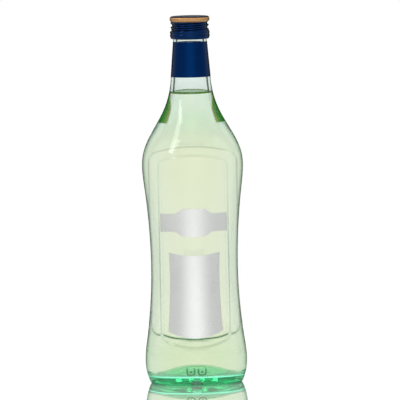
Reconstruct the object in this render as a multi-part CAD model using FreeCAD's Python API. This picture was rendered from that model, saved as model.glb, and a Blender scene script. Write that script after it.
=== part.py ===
import FreeCAD
import Part

import math
import os

# A full, shut 75 cl vermouth bottle, in millimetres. +Z is up, the origin is the centre of the foot on
# the table, and the front with the labels faces -Y. The glass is waisted between a base bulge and the
# shoulder, with one shallow label panel in front and one behind.

# --- The glass, outside ---
BULGE_R = 40.9             # widest radius of the base bulge
BULGE_Z = 18.3             # its height
BULGE_LOWER_CURVE = 41.0   # radius of the wall's curve below the bulge
BULGE_UPPER_CURVE = 85.0   # radius of the wall's curve above the bulge
HEEL_ROUND = 2.5           # rounding from the wall to the foot
WAIST_R = 34.85            # narrowest radius of the body
WAIST_Z = 94.0             # its height
SHOULDER_R = 40.8          # widest radius of the shoulder
SHOULDER_Z = 176.0         # where the wall comes up to that radius
SHOULDER_LAND = 2.3        # height of the short straight stretch there
SHOULDER_LOWER_CURVE = 81.0  # radius of the wall's curve below the shoulder
SHOULDER_ROUND = 32.0      # radius of the shoulder itself
CONE_ANGLE = 29.8          # slope of the shoulder's cone, in degrees from upright
NECK_BLEND = 71.0          # radius of the hollow curve from cone to neck
NECK_FOOT_R = 16.15        # radius of the neck where that curve ends and the straight taper starts
NECK_HEIGHT = 32.95        # height of the straight taper
FINISH_R = 13.45           # radius of the plain mouth above it, under the cap
FINISH_HEIGHT = 18.0
LIP_ROUND = 0.8            # rounding of the lip

# --- Foot and punt ---
FOOT_RING = 4.1            # width of the ring that the bottle stands on
FOOT_INNER_ROUND = 3.0     # rounding from that ring into the punt
PUNT_HEIGHT = 7.0          # height of the punt under the base
NOTCH_HALF_WIDTH = 4.4     # the heel's notch, which turns the bottle the right way round for its labels
NOTCH_HEIGHT = 4.6
NOTCH_DEPTH = 1.3          # into the heel, measured at half the notch's height
NOTCH_CORNER = 2.0         # rounding of the notch's upper corners

# --- Glass thickness and the inside ---
WALL = 3.0                 # body wall
NECK_WALL = 3.2
LIP_WALL = 4.05            # at the mouth
BASE_THICKNESS = 7.0       # in the middle of the punt
FLOOR_DOME = 75.0          # radius of the inside floor's dome
FLOOR_CORNER = 9.0         # rounding of the inside corner
CENTRE_FLAT_R = 2.5        # the level spot in the middle of the punt and of the inside floor
FILL_BELOW_MOUTH = 60.6    # from the lip down to the vermouth

# --- Label panels, pressed into the glass in front and behind ---
PANEL_HALF_WIDTH = 28.0
PANEL_ABOVE_SHOULDER = 6.9  # from the shoulder's straight stretch up to the arched edge's middle
PANEL_TOP_ARCH = 81.0      # radius of that edge
PANEL_BOTTOM_Z = 30.7      # lowest point of the curved lower edge
PANEL_BOTTOM_ARCH = 59.0   # radius of that edge
PANEL_CORNER = 5.0         # rounding of the panel's corners
PANEL_DEPTH = 0.8

# --- Labels and neck band ---
PAPER = 0.15               # thickness of each label and of the band
PLAQUE_MARGIN = 1.5        # upper label: a plain bar, taller in the middle, so far from the panel's sides
PLAQUE_GAP = 15.3          # from the lower label up to its middle part
PLAQUE_HALF_HEIGHT = 7.3
SWELL_HALF_HEIGHT = 11.4   # half the height of its middle
SWELL_FLAT = 6.5           # half the width of the middle's level top and bottom
SWELL_HALF_WIDTH = 17.0    # where the middle runs out into the bar
MAIN_ABOVE_PANEL = 7.4     # lower label: from the panel's lower edge, at the middle
MAIN_HEIGHT = 66.1         # at the middle
MAIN_TOP_HALF_WIDTH = 20.3
MAIN_WAIST_HALF_WIDTH = 19.9
MAIN_BOTTOM_HALF_WIDTH = 21.9
MAIN_TOP_SAG = 2.7         # how far the top edge sags at the middle
MAIN_BOTTOM_SAG = 5.6      # how far the bottom edge sags at the middle
BAND_UNDER_CAP = 2.1       # neck band: the bare glass between it and the cap
BAND_ABOVE_FOOT = 3.0      # from the foot of the straight neck up to the band

# --- Cap ---
CAP_HEIGHT = 18.3
CAP_TOP_PLATE = 0.7        # thickness of the cap's top
CAP_CLEARANCE = 0.3        # from the mouth to the cap's skirt
CAP_WALL = 1.6             # thickness of the plain skirt, with the rolled thread in it
RIM_PROUD = 0.65           # how far the rim at the top stands out of the skirt
RIM_HEIGHT = 3.6
RIM_CREST = 1.4            # from the top down to the rim's widest place, and its rounding above that
RIM_LOWER_ROUND = 3.2      # its rounding below that
RIM_GROOVE = 0.4           # depth of the fine groove under the rim
KNURLS = 90
KNURL_DEPTH = 0.2
KNURL_HEIGHT = 2.2
BEAD_PROUD = 0.62          # how far the tamper band's two beads stand out of the skirt
BEAD_ROUND = 2.4
BEAD_LOW = 2.9             # height of the lower bead above the cap's edge
BEAD_PITCH = 2.5
EDGE_WALL = 0.4            # thickness at the cap's rolled-in lower edge
THREAD_PITCH = 3.4
THREAD_START = 7.6         # height of the rolled thread's lower end above the cap's edge, on the left
THREAD_UNDER_RIM = 1.15    # from its upper end to the rim
THREAD_DEPTH = 1.15
THREAD_ROUND = 1.2
CAP_SEAM = 37.0            # where the cap's own seam lies, in degrees from +X

AXIS = FreeCAD.Vector(0, 0, 1)
ORIGIN = FreeCAD.Vector(0, 0, 0)


def neck_foot_height():
    """Height where the hollow curve above the cone runs into the straight neck."""
    cone = math.radians(CONE_ANGLE)
    taper = math.atan((NECK_FOOT_R - FINISH_R) / NECK_HEIGHT)
    cone_start_r = SHOULDER_R - SHOULDER_ROUND * (1 - math.cos(cone))
    cone_start_z = SHOULDER_Z + SHOULDER_LAND + SHOULDER_ROUND * math.sin(cone)
    cone_end_r = NECK_FOOT_R + NECK_BLEND * (math.cos(taper) - math.cos(cone))
    cone_end_z = cone_start_z + (cone_start_r - cone_end_r) / math.tan(cone)
    return cone_end_z + NECK_BLEND * (math.sin(cone) - math.sin(taper))


# --- Heights and radii that follow from the sizes above ---
NECK_FOOT_Z = neck_foot_height()
FINISH_Z = NECK_FOOT_Z + NECK_HEIGHT
MOUTH_Z = FINISH_Z + FINISH_HEIGHT
FILL_Z = MOUTH_Z - FILL_BELOW_MOUTH
FLOOR_HEIGHT = PUNT_HEIGHT + BASE_THICKNESS
PANEL_TOP_Z = SHOULDER_Z + SHOULDER_LAND + PANEL_ABOVE_SHOULDER
MAIN_BOTTOM_Z = PANEL_BOTTOM_Z + MAIN_ABOVE_PANEL
MAIN_TOP_Z = MAIN_BOTTOM_Z + MAIN_HEIGHT
PLAQUE_MIDDLE_Z = MAIN_TOP_Z + PLAQUE_GAP + SWELL_HALF_HEIGHT
PLAQUE_HALF_WIDTH = PANEL_HALF_WIDTH - PLAQUE_MARGIN
CAP_TOP_Z = MOUTH_Z + CAP_TOP_PLATE
CAP_BOTTOM_Z = CAP_TOP_Z - CAP_HEIGHT
BAND_TOP_Z = CAP_BOTTOM_Z - BAND_UNDER_CAP
BAND_BOTTOM_Z = NECK_FOOT_Z + BAND_ABOVE_FOOT
CAP_INNER_R = FINISH_R + CAP_CLEARANCE
SKIRT_R = CAP_INNER_R + CAP_WALL
RIM_R = SKIRT_R + RIM_PROUD
THREAD_RISE = CAP_HEIGHT - RIM_HEIGHT - THREAD_UNDER_RIM - THREAD_START


def at(r, z):
    """A point of a turned outline, at radius r and height z."""
    return FreeCAD.Vector(r, 0, z)


def line(a, b):
    return Part.LineSegment(at(*a), at(*b)).toShape()


def arc(centre, radius, start, end):
    """An arc of a turned outline, from one angle to the other in degrees, 0 pointing outwards."""
    def point(angle):
        turn = math.radians(angle)
        return at(centre[0] + radius * math.cos(turn), centre[1] + radius * math.sin(turn))
    return Part.Arc(point(start), point((start + end) / 2), point(end)).toShape()


def turned(edges):
    """The solid that a closed outline sweeps when it turns about the axis."""
    face = Part.Face(Part.Wire(Part.__sortEdges__(edges)))
    solid = face.revolve(ORIGIN, AXIS, 360)
    return solid if solid.Volume > 0 else solid.reversed()


def along(centre, radius, angle):
    turn = math.radians(angle)
    return centre[0] + radius * math.cos(turn), centre[1] + radius * math.sin(turn)


def s_curve(low, high, convex_radius, convex_is_low):
    """Two tangent arcs between two upright spots of the wall, given as (r, z): their centres, radii, turn."""
    rise = high[1] - low[1]
    turn = 2 * math.atan(abs(high[0] - low[0]) / rise)
    hollow_radius = rise / math.sin(turn) - convex_radius
    wide, narrow = (low, high) if convex_is_low else (high, low)
    convex = (wide[0] - convex_radius, wide[1])
    hollow = (narrow[0] + hollow_radius, narrow[1])
    return convex, hollow, hollow_radius, math.degrees(turn)


def wall_edges(inset):
    """The body wall from the base bulge to the shoulder's cone, inset by so much: edges and end points."""
    convex_low, hollow_low, hollow_low_r, turn_low = s_curve(
        (BULGE_R, BULGE_Z), (WAIST_R, WAIST_Z), BULGE_UPPER_CURVE, True)
    convex_high, hollow_high, hollow_high_r, turn_high = s_curve(
        (WAIST_R, WAIST_Z), (SHOULDER_R, SHOULDER_Z), SHOULDER_LOWER_CURVE, False)
    round_centre = (SHOULDER_R - SHOULDER_ROUND, SHOULDER_Z + SHOULDER_LAND)
    edges = [
        arc(convex_low, BULGE_UPPER_CURVE - inset, 0, turn_low),
        arc(hollow_low, hollow_low_r + inset, 180 + turn_low, 180),
        arc(hollow_high, hollow_high_r + inset, 180, 180 - turn_high),
        arc(convex_high, SHOULDER_LOWER_CURVE - inset, -turn_high, 0),
        line((SHOULDER_R - inset, SHOULDER_Z), (SHOULDER_R - inset, SHOULDER_Z + SHOULDER_LAND)),
        arc(round_centre, SHOULDER_ROUND - inset, 0, CONE_ANGLE),
    ]
    return edges, along(round_centre, SHOULDER_ROUND - inset, CONE_ANGLE)


def neck_edges(cone_start, neck_foot, neck_top, blend):
    """The cone, the hollow blend and the tapered neck, from the end of the shoulder to neck_top."""
    cone = (-math.sin(math.radians(CONE_ANGLE)), math.cos(math.radians(CONE_ANGLE)))
    run, rise = neck_top[0] - neck_foot[0], neck_top[1] - neck_foot[1]
    length = math.hypot(run, rise)
    neck = (run / length, rise / length)
    across = cone[0] * neck[1] - cone[1] * neck[0]
    gap = (neck_foot[0] - cone_start[0], neck_foot[1] - cone_start[1])
    reach = (gap[0] * neck[1] - gap[1] * neck[0]) / across
    corner = (cone_start[0] + cone[0] * reach, cone_start[1] + cone[1] * reach)
    neck_angle = math.degrees(math.atan2(-neck[0], neck[1]))
    back = blend * math.tan(math.radians(CONE_ANGLE - neck_angle) / 2)
    leaves = (corner[0] - cone[0] * back, corner[1] - cone[1] * back)
    joins = (corner[0] + neck[0] * back, corner[1] + neck[1] * back)
    centre = (leaves[0] + blend * cone[1], leaves[1] - blend * cone[0])
    return [
        line(cone_start, leaves),
        arc(centre, blend, 180 + CONE_ANGLE, 180 + neck_angle),
        line(joins, neck_top),
    ]


def heel_centre():
    """Centre of the heel's rounding, which touches the table and runs into the wall below the bulge."""
    wall_centre = (BULGE_R - BULGE_LOWER_CURVE, BULGE_Z)
    reach = BULGE_LOWER_CURVE - HEEL_ROUND
    return wall_centre[0] + math.sqrt(reach**2 - (BULGE_Z - HEEL_ROUND) ** 2), HEEL_ROUND


def outer_body(inset=0.0):
    """The bottle's outside as a plug with no inside, foot and punt included, inset by so much."""
    wall_centre = (BULGE_R - BULGE_LOWER_CURVE, BULGE_Z)
    heel = heel_centre()
    heel_angle = math.degrees(math.atan2(heel[1] - wall_centre[1], heel[0] - wall_centre[0]))
    edges, cone_start = wall_edges(inset)
    foot_top = (FINISH_R - inset, FINISH_Z)
    edges += neck_edges(cone_start, (NECK_FOOT_R - inset, NECK_FOOT_Z), foot_top, NECK_BLEND + inset)
    lip_r = FINISH_R - inset - LIP_ROUND
    ring = (heel[0] - FOOT_RING, FOOT_INNER_ROUND)
    punt = (ring[0]**2 + (ring[1] - PUNT_HEIGHT) ** 2 - FOOT_INNER_ROUND**2) / (2 * PUNT_HEIGHT)
    punt_centre = (0, PUNT_HEIGHT - punt)
    slope = math.degrees(math.atan2(ring[1] - punt_centre[1], ring[0] - punt_centre[0]))
    punt_flat = math.degrees(math.acos(CENTRE_FLAT_R / (punt + inset)))
    flat_edge = along(punt_centre, punt + inset, punt_flat)
    edges += [
        arc(wall_centre, BULGE_LOWER_CURVE - inset, heel_angle, 0),
        arc(heel, HEEL_ROUND - inset, -90, heel_angle),
        line((heel[0], inset), (ring[0], inset)),
        arc(ring, FOOT_INNER_ROUND - inset, 180 + slope, 270),
        arc(punt_centre, punt + inset, slope, punt_flat),
        line(flat_edge, (0, flat_edge[1])),
        line((0, flat_edge[1]), (0, MOUTH_Z)),
        line((0, MOUTH_Z), (lip_r, MOUTH_Z)),
        arc((lip_r, MOUTH_Z - LIP_ROUND), LIP_ROUND, 90, 0),
        line((FINISH_R - inset, MOUTH_Z - LIP_ROUND), foot_top),
    ]
    return turned(edges)


def inside():
    """The space inside the glass, from the floor's dome up to the mouth."""
    wall_centre = (BULGE_R - BULGE_LOWER_CURVE, BULGE_Z)
    wall_radius = BULGE_LOWER_CURVE - WALL
    dome_centre = (0.0, FLOOR_HEIGHT - FLOOR_DOME)
    # The corner's circle touches the wall's circle from inside and the dome's from outside.
    to_wall, to_dome = wall_radius - FLOOR_CORNER, FLOOR_DOME + FLOOR_CORNER
    dx, dz = wall_centre[0] - dome_centre[0], wall_centre[1] - dome_centre[1]
    apart = math.hypot(dx, dz)
    step = (to_dome**2 - to_wall**2 + apart**2) / (2 * apart)
    side = math.sqrt(to_dome**2 - step**2)
    corner = (dome_centre[0] + (step * dx + side * dz) / apart,
              dome_centre[1] + (step * dz - side * dx) / apart)
    wall_angle = math.degrees(math.atan2(corner[1] - wall_centre[1], corner[0] - wall_centre[0]))
    dome_angle = math.degrees(math.atan2(corner[1] - dome_centre[1], corner[0] - dome_centre[0]))
    edges, cone_start = wall_edges(WALL)
    neck_top = (FINISH_R - NECK_WALL, FINISH_Z)
    edges += neck_edges(cone_start, (NECK_FOOT_R - NECK_WALL, NECK_FOOT_Z), neck_top, NECK_BLEND + NECK_WALL)
    dome_flat = math.degrees(math.acos(CENTRE_FLAT_R / FLOOR_DOME))
    flat_edge = along(dome_centre, FLOOR_DOME, dome_flat)
    edges += [
        arc(wall_centre, wall_radius, wall_angle, 0),
        arc(corner, FLOOR_CORNER, dome_angle - 180, wall_angle),
        arc(dome_centre, FLOOR_DOME, dome_angle, dome_flat),
        line(flat_edge, (0, flat_edge[1])),
        line((0, flat_edge[1]), (0, MOUTH_Z)),
        line((0, MOUTH_Z), (FINISH_R - LIP_WALL, MOUTH_Z)),
        line((FINISH_R - LIP_WALL, MOUTH_Z), neck_top),
    ]
    return turned(edges)


def front_point(x, z):
    """A point of an outline drawn on the upright plane through the axis, seen from the front."""
    return FreeCAD.Vector(x, 0, z)


def prism(edges, front=True):
    """An outline pushed out through the front of the bottle, or through the back."""
    face = Part.Face(Part.Wire(Part.__sortEdges__(edges)))
    reach = 2 * max(BULGE_R, SHOULDER_R)
    return face.extrude(FreeCAD.Vector(0, -reach if front else reach, 0))


def mirrored(points):
    return [(-x, z) for x, z in points]


def straight(a, b):
    return Part.LineSegment(front_point(*a), front_point(*b)).toShape()


def bowed(a, middle, b):
    return Part.Arc(front_point(*a), front_point(*middle), front_point(*b)).toShape()


def panel_outline():
    """The label panel: upright sides, an arched top, a sagging bottom and rounded corners."""
    half = PANEL_HALF_WIDTH
    top_centre = (0, PANEL_TOP_Z - PANEL_TOP_ARCH)
    bottom_centre = (0, PANEL_BOTTOM_Z + PANEL_BOTTOM_ARCH)
    corner_x = half - PANEL_CORNER

    def corner(centre, arch, upward):
        rise = math.sqrt((arch - PANEL_CORNER) ** 2 - corner_x**2)
        middle = (corner_x, centre[1] + upward * rise)
        angle = math.degrees(math.atan2(middle[1] - centre[1], corner_x))
        touch = along(middle, PANEL_CORNER, angle)
        between = along(middle, PANEL_CORNER, angle / 2)
        return touch, between, (half, middle[1])

    top, top_mid, top_side = corner(top_centre, PANEL_TOP_ARCH, 1)
    low, low_mid, low_side = corner(bottom_centre, PANEL_BOTTOM_ARCH, -1)
    right = [top, top_mid, top_side, low_side, low_mid, low]
    left = mirrored(right)
    return [
        bowed(left[0], (0, PANEL_TOP_Z), right[0]),
        bowed(right[0], right[1], right[2]),
        straight(right[2], right[3]),
        bowed(right[3], right[4], right[5]),
        bowed(right[5], (0, PANEL_BOTTOM_Z), left[5]),
        bowed(left[5], left[4], left[3]),
        straight(left[3], left[2]),
        bowed(left[2], left[1], left[0]),
    ]


def plaque_outline():
    """The upper label: a bar whose middle is taller, with an S-bend on each side and level ends."""
    def shoulder(side, up):
        start = (side * SWELL_HALF_WIDTH, PLAQUE_MIDDLE_Z + up * PLAQUE_HALF_HEIGHT)
        crest = (side * SWELL_FLAT, PLAQUE_MIDDLE_Z + up * SWELL_HALF_HEIGHT)
        half = (start[0] + crest[0]) / 2
        curve = Part.BezierCurve()
        poles = [start, (half, start[1]), (half, crest[1]), crest]
        curve.setPoles([front_point(*pole) for pole in poles])
        return curve.toShape()

    edges = []
    for up in (1, -1):
        level = PLAQUE_MIDDLE_Z + up * PLAQUE_HALF_HEIGHT
        crest = PLAQUE_MIDDLE_Z + up * SWELL_HALF_HEIGHT
        edges.append(straight((-SWELL_FLAT, crest), (SWELL_FLAT, crest)))
        for side in (1, -1):
            edges.append(shoulder(side, up))
            edges.append(straight((side * SWELL_HALF_WIDTH, level), (side * PLAQUE_HALF_WIDTH, level)))
    for side in (1, -1):
        x = side * PLAQUE_HALF_WIDTH
        low, high = PLAQUE_MIDDLE_Z - PLAQUE_HALF_HEIGHT, PLAQUE_MIDDLE_Z + PLAQUE_HALF_HEIGHT
        edges.append(straight((x, low), (x, high)))
    return edges


def main_outline():
    """The lower label: waisted sides, and a top and bottom edge that both sag at the middle."""
    top_z, low_z = MAIN_TOP_Z + MAIN_TOP_SAG, MAIN_BOTTOM_Z + MAIN_BOTTOM_SAG
    waist_z = (2 * top_z + low_z) / 3
    right = [(MAIN_TOP_HALF_WIDTH, top_z), (MAIN_WAIST_HALF_WIDTH, waist_z), (MAIN_BOTTOM_HALF_WIDTH, low_z)]
    left = mirrored(right)
    return [
        bowed(left[0], (0, MAIN_TOP_Z), right[0]),
        bowed(right[0], right[1], right[2]),
        bowed(right[2], (0, MAIN_BOTTOM_Z), left[2]),
        bowed(left[2], left[1], left[0]),
    ]


def heel_notch():
    """The notch in the heel: a small upright pocket with rounded upper corners."""
    half, high, corner = NOTCH_HALF_WIDTH, NOTCH_HEIGHT, NOTCH_CORNER
    low = -HEEL_ROUND
    middle = (half - corner, high - corner)
    right = [(half, low), (half, middle[1]), along(middle, corner, 45), (middle[0], high)]
    left = mirrored(right)
    outline = [
        straight(left[0], right[0]),
        straight(right[0], right[1]),
        bowed(right[1], right[2], right[3]),
        straight(right[3], left[3]),
        bowed(left[3], left[2], left[1]),
        straight(left[1], left[0]),
    ]
    drop = BULGE_Z - NOTCH_HEIGHT / 2
    heel_r = BULGE_R - BULGE_LOWER_CURVE + math.sqrt(BULGE_LOWER_CURVE**2 - drop**2)
    pocket = prism(outline)
    pocket.translate(FreeCAD.Vector(0, NOTCH_DEPTH - heel_r, 0))
    return pocket


def glass_bottle():
    solid = outer_body()
    skin = solid.cut(outer_body(PANEL_DEPTH))
    for front in (True, False):
        solid = solid.cut(skin.common(prism(panel_outline(), front)))
    return solid.cut(inside()).cut(heel_notch())


def vermouth():
    up_to_level = Part.makeCylinder(BULGE_R + SHOULDER_R, FILL_Z)
    return inside().common(up_to_level)


def label(outline):
    """A label on the front panel's floor, cut to an outline drawn from the front."""
    paper = outer_body(PANEL_DEPTH - PAPER).cut(outer_body(PANEL_DEPTH))
    return paper.common(prism(outline))


def neck_band():
    """The band round the neck, a thin sleeve on the glass from its lower edge to its upper one."""
    reach = BULGE_R + SHOULDER_R
    slab = Part.makeCylinder(reach, BAND_TOP_Z - BAND_BOTTOM_Z, at(0, BAND_BOTTOM_Z))
    return outer_body(-PAPER).cut(outer_body()).common(slab)


def cap_blank():
    """The cap turned on its axis: top plate, rim, fine groove, skirt and the tamper band's two beads."""
    # The rim.
    crest_z = CAP_TOP_Z - RIM_CREST
    rim_low = CAP_TOP_Z - RIM_HEIGHT
    rim_centre = (RIM_R - RIM_LOWER_ROUND, crest_z)
    rim_turn = -math.degrees(math.asin((crest_z - rim_low) / RIM_LOWER_ROUND))
    rim_end = along(rim_centre, RIM_LOWER_ROUND, rim_turn)
    groove = (SKIRT_R - RIM_GROOVE, rim_low - RIM_GROOVE)
    skirt_top = (SKIRT_R, groove[1] - RIM_GROOVE)
    # The tamper band: two equal beads, the upper one running out into the skirt.
    bead = SKIRT_R + BEAD_PROUD - BEAD_ROUND
    low_bead = (bead, CAP_BOTTOM_Z + BEAD_LOW)
    high_bead = (bead, low_bead[1] + BEAD_PITCH)
    run_out = math.degrees(math.acos((BEAD_ROUND - BEAD_PROUD) / BEAD_ROUND))
    meet = math.degrees(math.asin(BEAD_PITCH / 2 / BEAD_ROUND))
    skirt_low = along(high_bead, BEAD_ROUND, run_out)
    # The rolled-in edge: a round from the lower bead that ends level at the bottom.
    edge = (CAP_INNER_R + EDGE_WALL, CAP_BOTTOM_Z)
    edge_start = along(low_bead, BEAD_ROUND, -meet)
    out, up = edge_start[0] - edge[0], edge_start[1] - edge[1]
    edge_round = (out**2 + up**2) / (2 * up)
    edge_turn = math.degrees(math.atan2(up - edge_round, out))
    return turned([
        line((0, MOUTH_Z), (0, CAP_TOP_Z)),
        line((0, CAP_TOP_Z), (RIM_R - RIM_CREST, CAP_TOP_Z)),
        arc((RIM_R - RIM_CREST, crest_z), RIM_CREST, 90, 0),
        arc(rim_centre, RIM_LOWER_ROUND, 0, rim_turn),
        line(rim_end, groove),
        line(groove, skirt_top),
        line(skirt_top, skirt_low),
        arc(high_bead, BEAD_ROUND, run_out, -meet),
        arc(low_bead, BEAD_ROUND, meet, -meet),
        arc((edge[0], edge[1] + edge_round), edge_round, edge_turn, -90),
        line(edge, (CAP_INNER_R, CAP_BOTTOM_Z)),
        line((CAP_INNER_R, CAP_BOTTOM_Z), (CAP_INNER_R, MOUTH_Z)),
        line((CAP_INNER_R, MOUTH_Z), (0, MOUTH_Z)),
    ])


def rolled_thread():
    """The groove that the rolled thread leaves round the skirt: a round swept up a right-hand helix."""
    helix = Part.makeHelix(THREAD_PITCH, THREAD_RISE, SKIRT_R)
    helix.rotate(ORIGIN, AXIS, 180)
    helix.translate(FreeCAD.Vector(0, 0, CAP_BOTTOM_Z + THREAD_START))
    first = helix.Edges[0]
    start = first.valueAt(first.FirstParameter)
    outward = FreeCAD.Vector(start.x, start.y, 0).normalize()
    middle = start + outward * (THREAD_ROUND - THREAD_DEPTH)
    section = Part.Wire(Part.makeCircle(THREAD_ROUND, middle, first.tangentAt(first.FirstParameter)))
    return Part.Wire(helix.Edges).makePipeShell([section], True, True)


def knurls():
    """Small upright notches all round the upper part of the cap's rim."""
    half = math.pi * RIM_R / KNURLS / 2
    low = CAP_TOP_Z - RIM_CREST - KNURL_HEIGHT / 2
    corners = [(RIM_R - KNURL_DEPTH, 0), (RIM_R + KNURL_DEPTH, half), (RIM_R + KNURL_DEPTH, -half)]
    points = [FreeCAD.Vector(x, y, low) for x, y in corners]
    notch = Part.Face(Part.makePolygon(points + points[:1])).extrude(FreeCAD.Vector(0, 0, KNURL_HEIGHT))
    cuts = []
    for n in range(KNURLS):
        one = notch.copy()
        one.rotate(ORIGIN, AXIS, 360 * n / KNURLS)
        cuts.append(one)
    return Part.makeCompound(cuts)


def screw_cap():
    """The cap, with its blank turned so that the seam of its round faces lies clear of the thread's ends."""
    blank = cap_blank()
    blank.rotate(ORIGIN, AXIS, CAP_SEAM)
    return blank.cut(rolled_thread()).cut(knurls())


NODES = {
    "glass_bottle": glass_bottle,
    "vermouth": vermouth,
    "screw_cap": screw_cap,
    "neck_band": neck_band,
    "upper_label": lambda: label(plaque_outline()),
    "lower_label": lambda: label(main_outline()),
}


def main():
    os.makedirs("parts", exist_ok=True)
    for name, build in NODES.items():
        solid = build().Solids[0]
        print(name, "valid:", solid.isValid(), " cm3:", round(solid.Volume / 1000, 2))
        solid.exportStep(f"parts/{name}.step")


main()
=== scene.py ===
# %% [markdown]
# # A full bottle of pale vermouth
# This lesson dresses a bottle whose construction is already settled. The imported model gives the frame:
# the glass, the drink, the cap, the neck band and two labels, all at their real size. Here each of
# them gets a smooth mesh of its own and a material that behaves as the real stuff does. Lengths are in
# metres, +Z is up, the bottle stands on the origin, and its front with the labels faces -Y.

import bisect
import math

import bmesh
import bpy
from mathutils import Matrix, Quaternion, Vector


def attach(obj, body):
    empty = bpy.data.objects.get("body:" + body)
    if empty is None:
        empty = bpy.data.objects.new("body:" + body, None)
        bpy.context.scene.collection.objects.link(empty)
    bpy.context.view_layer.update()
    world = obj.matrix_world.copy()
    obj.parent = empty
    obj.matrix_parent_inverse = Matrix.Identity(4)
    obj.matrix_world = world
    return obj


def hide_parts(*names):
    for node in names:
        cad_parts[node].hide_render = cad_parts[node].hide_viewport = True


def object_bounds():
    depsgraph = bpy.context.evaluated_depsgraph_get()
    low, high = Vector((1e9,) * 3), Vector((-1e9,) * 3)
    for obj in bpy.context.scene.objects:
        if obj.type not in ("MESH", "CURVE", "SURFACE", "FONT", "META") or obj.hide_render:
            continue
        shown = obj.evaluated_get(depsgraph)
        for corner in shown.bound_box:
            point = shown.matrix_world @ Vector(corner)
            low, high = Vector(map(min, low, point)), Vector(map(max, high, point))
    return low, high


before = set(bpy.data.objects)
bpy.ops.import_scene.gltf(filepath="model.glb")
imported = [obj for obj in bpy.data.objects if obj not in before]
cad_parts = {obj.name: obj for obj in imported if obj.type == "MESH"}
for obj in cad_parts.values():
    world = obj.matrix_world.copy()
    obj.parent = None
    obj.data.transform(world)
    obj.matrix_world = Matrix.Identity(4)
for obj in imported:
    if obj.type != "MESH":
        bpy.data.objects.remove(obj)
cad_low, cad_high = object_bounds()
print("frame box, mm:", [round(1000 * v, 2) for v in (*cad_low, *cad_high)])

# %% [markdown]
# ## Sizes
# A glassmaker's drawing gives a bottle as radii, heights and the curves between them. The same few
# sizes drive this mesh, so that it lies on the frame's glass without any fitting. The frame's mesh
# could be read back instead, but its curves are already cut into short chords, and glass shows each
# chord as a bent highlight.

# %% The glass, outside
MM = 0.001
BULGE_R = 40.9 * MM
BULGE_Z = 18.3 * MM
BULGE_LOWER_CURVE = 41.0 * MM
BULGE_UPPER_CURVE = 85.0 * MM
HEEL_ROUND = 2.5 * MM
WAIST_R = 34.85 * MM
WAIST_Z = 94.0 * MM
SHOULDER_R = 40.8 * MM
SHOULDER_Z = 176.0 * MM
SHOULDER_LAND = 2.3 * MM
SHOULDER_LOWER_CURVE = 81.0 * MM
SHOULDER_ROUND = 32.0 * MM
CONE_ANGLE = math.radians(29.8)
NECK_BLEND = 71.0 * MM
NECK_FOOT_R = 16.15 * MM
NECK_HEIGHT = 32.95 * MM
FINISH_R = 13.45 * MM
FINISH_HEIGHT = 18.0 * MM
LIP_ROUND = 0.8 * MM
FOOT_RING = 4.1 * MM
FOOT_INNER_ROUND = 3.0 * MM
PUNT_HEIGHT = 7.0 * MM

# %% The glass, inside, and the level of the drink
WALL = 3.0 * MM
NECK_WALL = 3.2 * MM
LIP_WALL = 4.05 * MM
INNER_CONE_ANGLE = math.radians(36.0)
BORE_BLEND = 60.0 * MM
FLOOR_TOP_Z = 14.4 * MM  # the floor is domed a little more than the frame's, and traps less light
FLOOR_DOME = 67.0 * MM
FLOOR_CORNER = 3.5 * MM
FILL_BELOW_MOUTH = 60.6 * MM

# %% The label panels and the heel's notch
PANEL_HALF_WIDTH = 28.0 * MM
PANEL_ABOVE_SHOULDER = 6.9 * MM
PANEL_TOP_ARCH = 81.0 * MM
PANEL_BOTTOM_Z = 30.7 * MM
PANEL_BOTTOM_ARCH = 59.0 * MM
PANEL_CORNER = 5.0 * MM
PANEL_DEPTH = 0.8 * MM
NOTCH_HALF_WIDTH = 4.4 * MM
NOTCH_HEIGHT = 4.6 * MM
NOTCH_DEPTH = 1.3 * MM
NOTCH_CORNER = 2.0 * MM

# %% [markdown]
# ## Outlines from arcs and straight runs
# Every turned part of the bottle is an outline swept about the axis. The outline is a chain of spans,
# each an arc or a straight run that meets its neighbours without a kink. A span is walked in steps,
# and the step can change with the height, so rows of faces gather where there is detail and spread
# where the wall is plain.

# %% Spans and how they are walked
SHORTEST = 0.4  # the shortest last step of a span, as a share of the spacing
TAPS = 4  # heights above and below that an average looks at


def straight(start, end):
    """A straight span of an outline between two (radius, height) points."""
    length = math.dist(start, end)

    def point(share):
        return tuple(a + (b - a) * share for a, b in zip(start, end))
    return {"point": point, "length": length}


def runs(*points):
    """The straight spans that join points in turn."""
    return [straight(*pair) for pair in zip(points, points[1:])]


def arc(centre, radius, start, end):
    """An arc of an outline, from one angle to the other in radians, 0 pointing outwards."""
    def point(share):
        angle = start + (end - start) * share
        return centre[0] + radius * math.cos(angle), centre[1] + radius * math.sin(angle)
    return {"point": point, "length": abs(radius * (end - start))}


def walk(spans, spacing):
    """Points along a chain of spans, spacing(height) apart, with no very short step at a span's end."""
    points = []
    for span in spans:
        share = 0.0
        while share < 1.0:
            point = span["point"](share)
            points.append(point)
            stride = spacing(point[1]) / span["length"]
            share += stride
            if 1.0 - share < SHORTEST * stride:
                break
    points.append(spans[-1]["point"](1.0))
    return points


def even(spacing):
    """A spacing that doesn't change with the height."""
    return lambda height: spacing


def radius_at(outline, height):
    """Radius of an outline at that height, where the outline only rises."""
    above = bisect.bisect_right(outline, height, key=lambda point: point[1])
    above = min(max(above, 1), len(outline) - 1)
    (r0, z0), (r1, z1) = outline[above - 1:above + 1]
    share = min(max((height - z0) / (z1 - z0), 0.0), 1.0)
    return r0 + (r1 - r0) * share


def smooth(value, low, high):
    """0 up to low, 1 from high, and an easy curve between."""
    share = min(max((value - low) / (high - low), 0.0), 1.0)
    return share * share * (3 - 2 * share)


def within(outside, width):
    """1 inside an edge and 0 outside it, with an easy curve across its width."""
    return smooth(-outside, -width / 2, width / 2)


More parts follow.
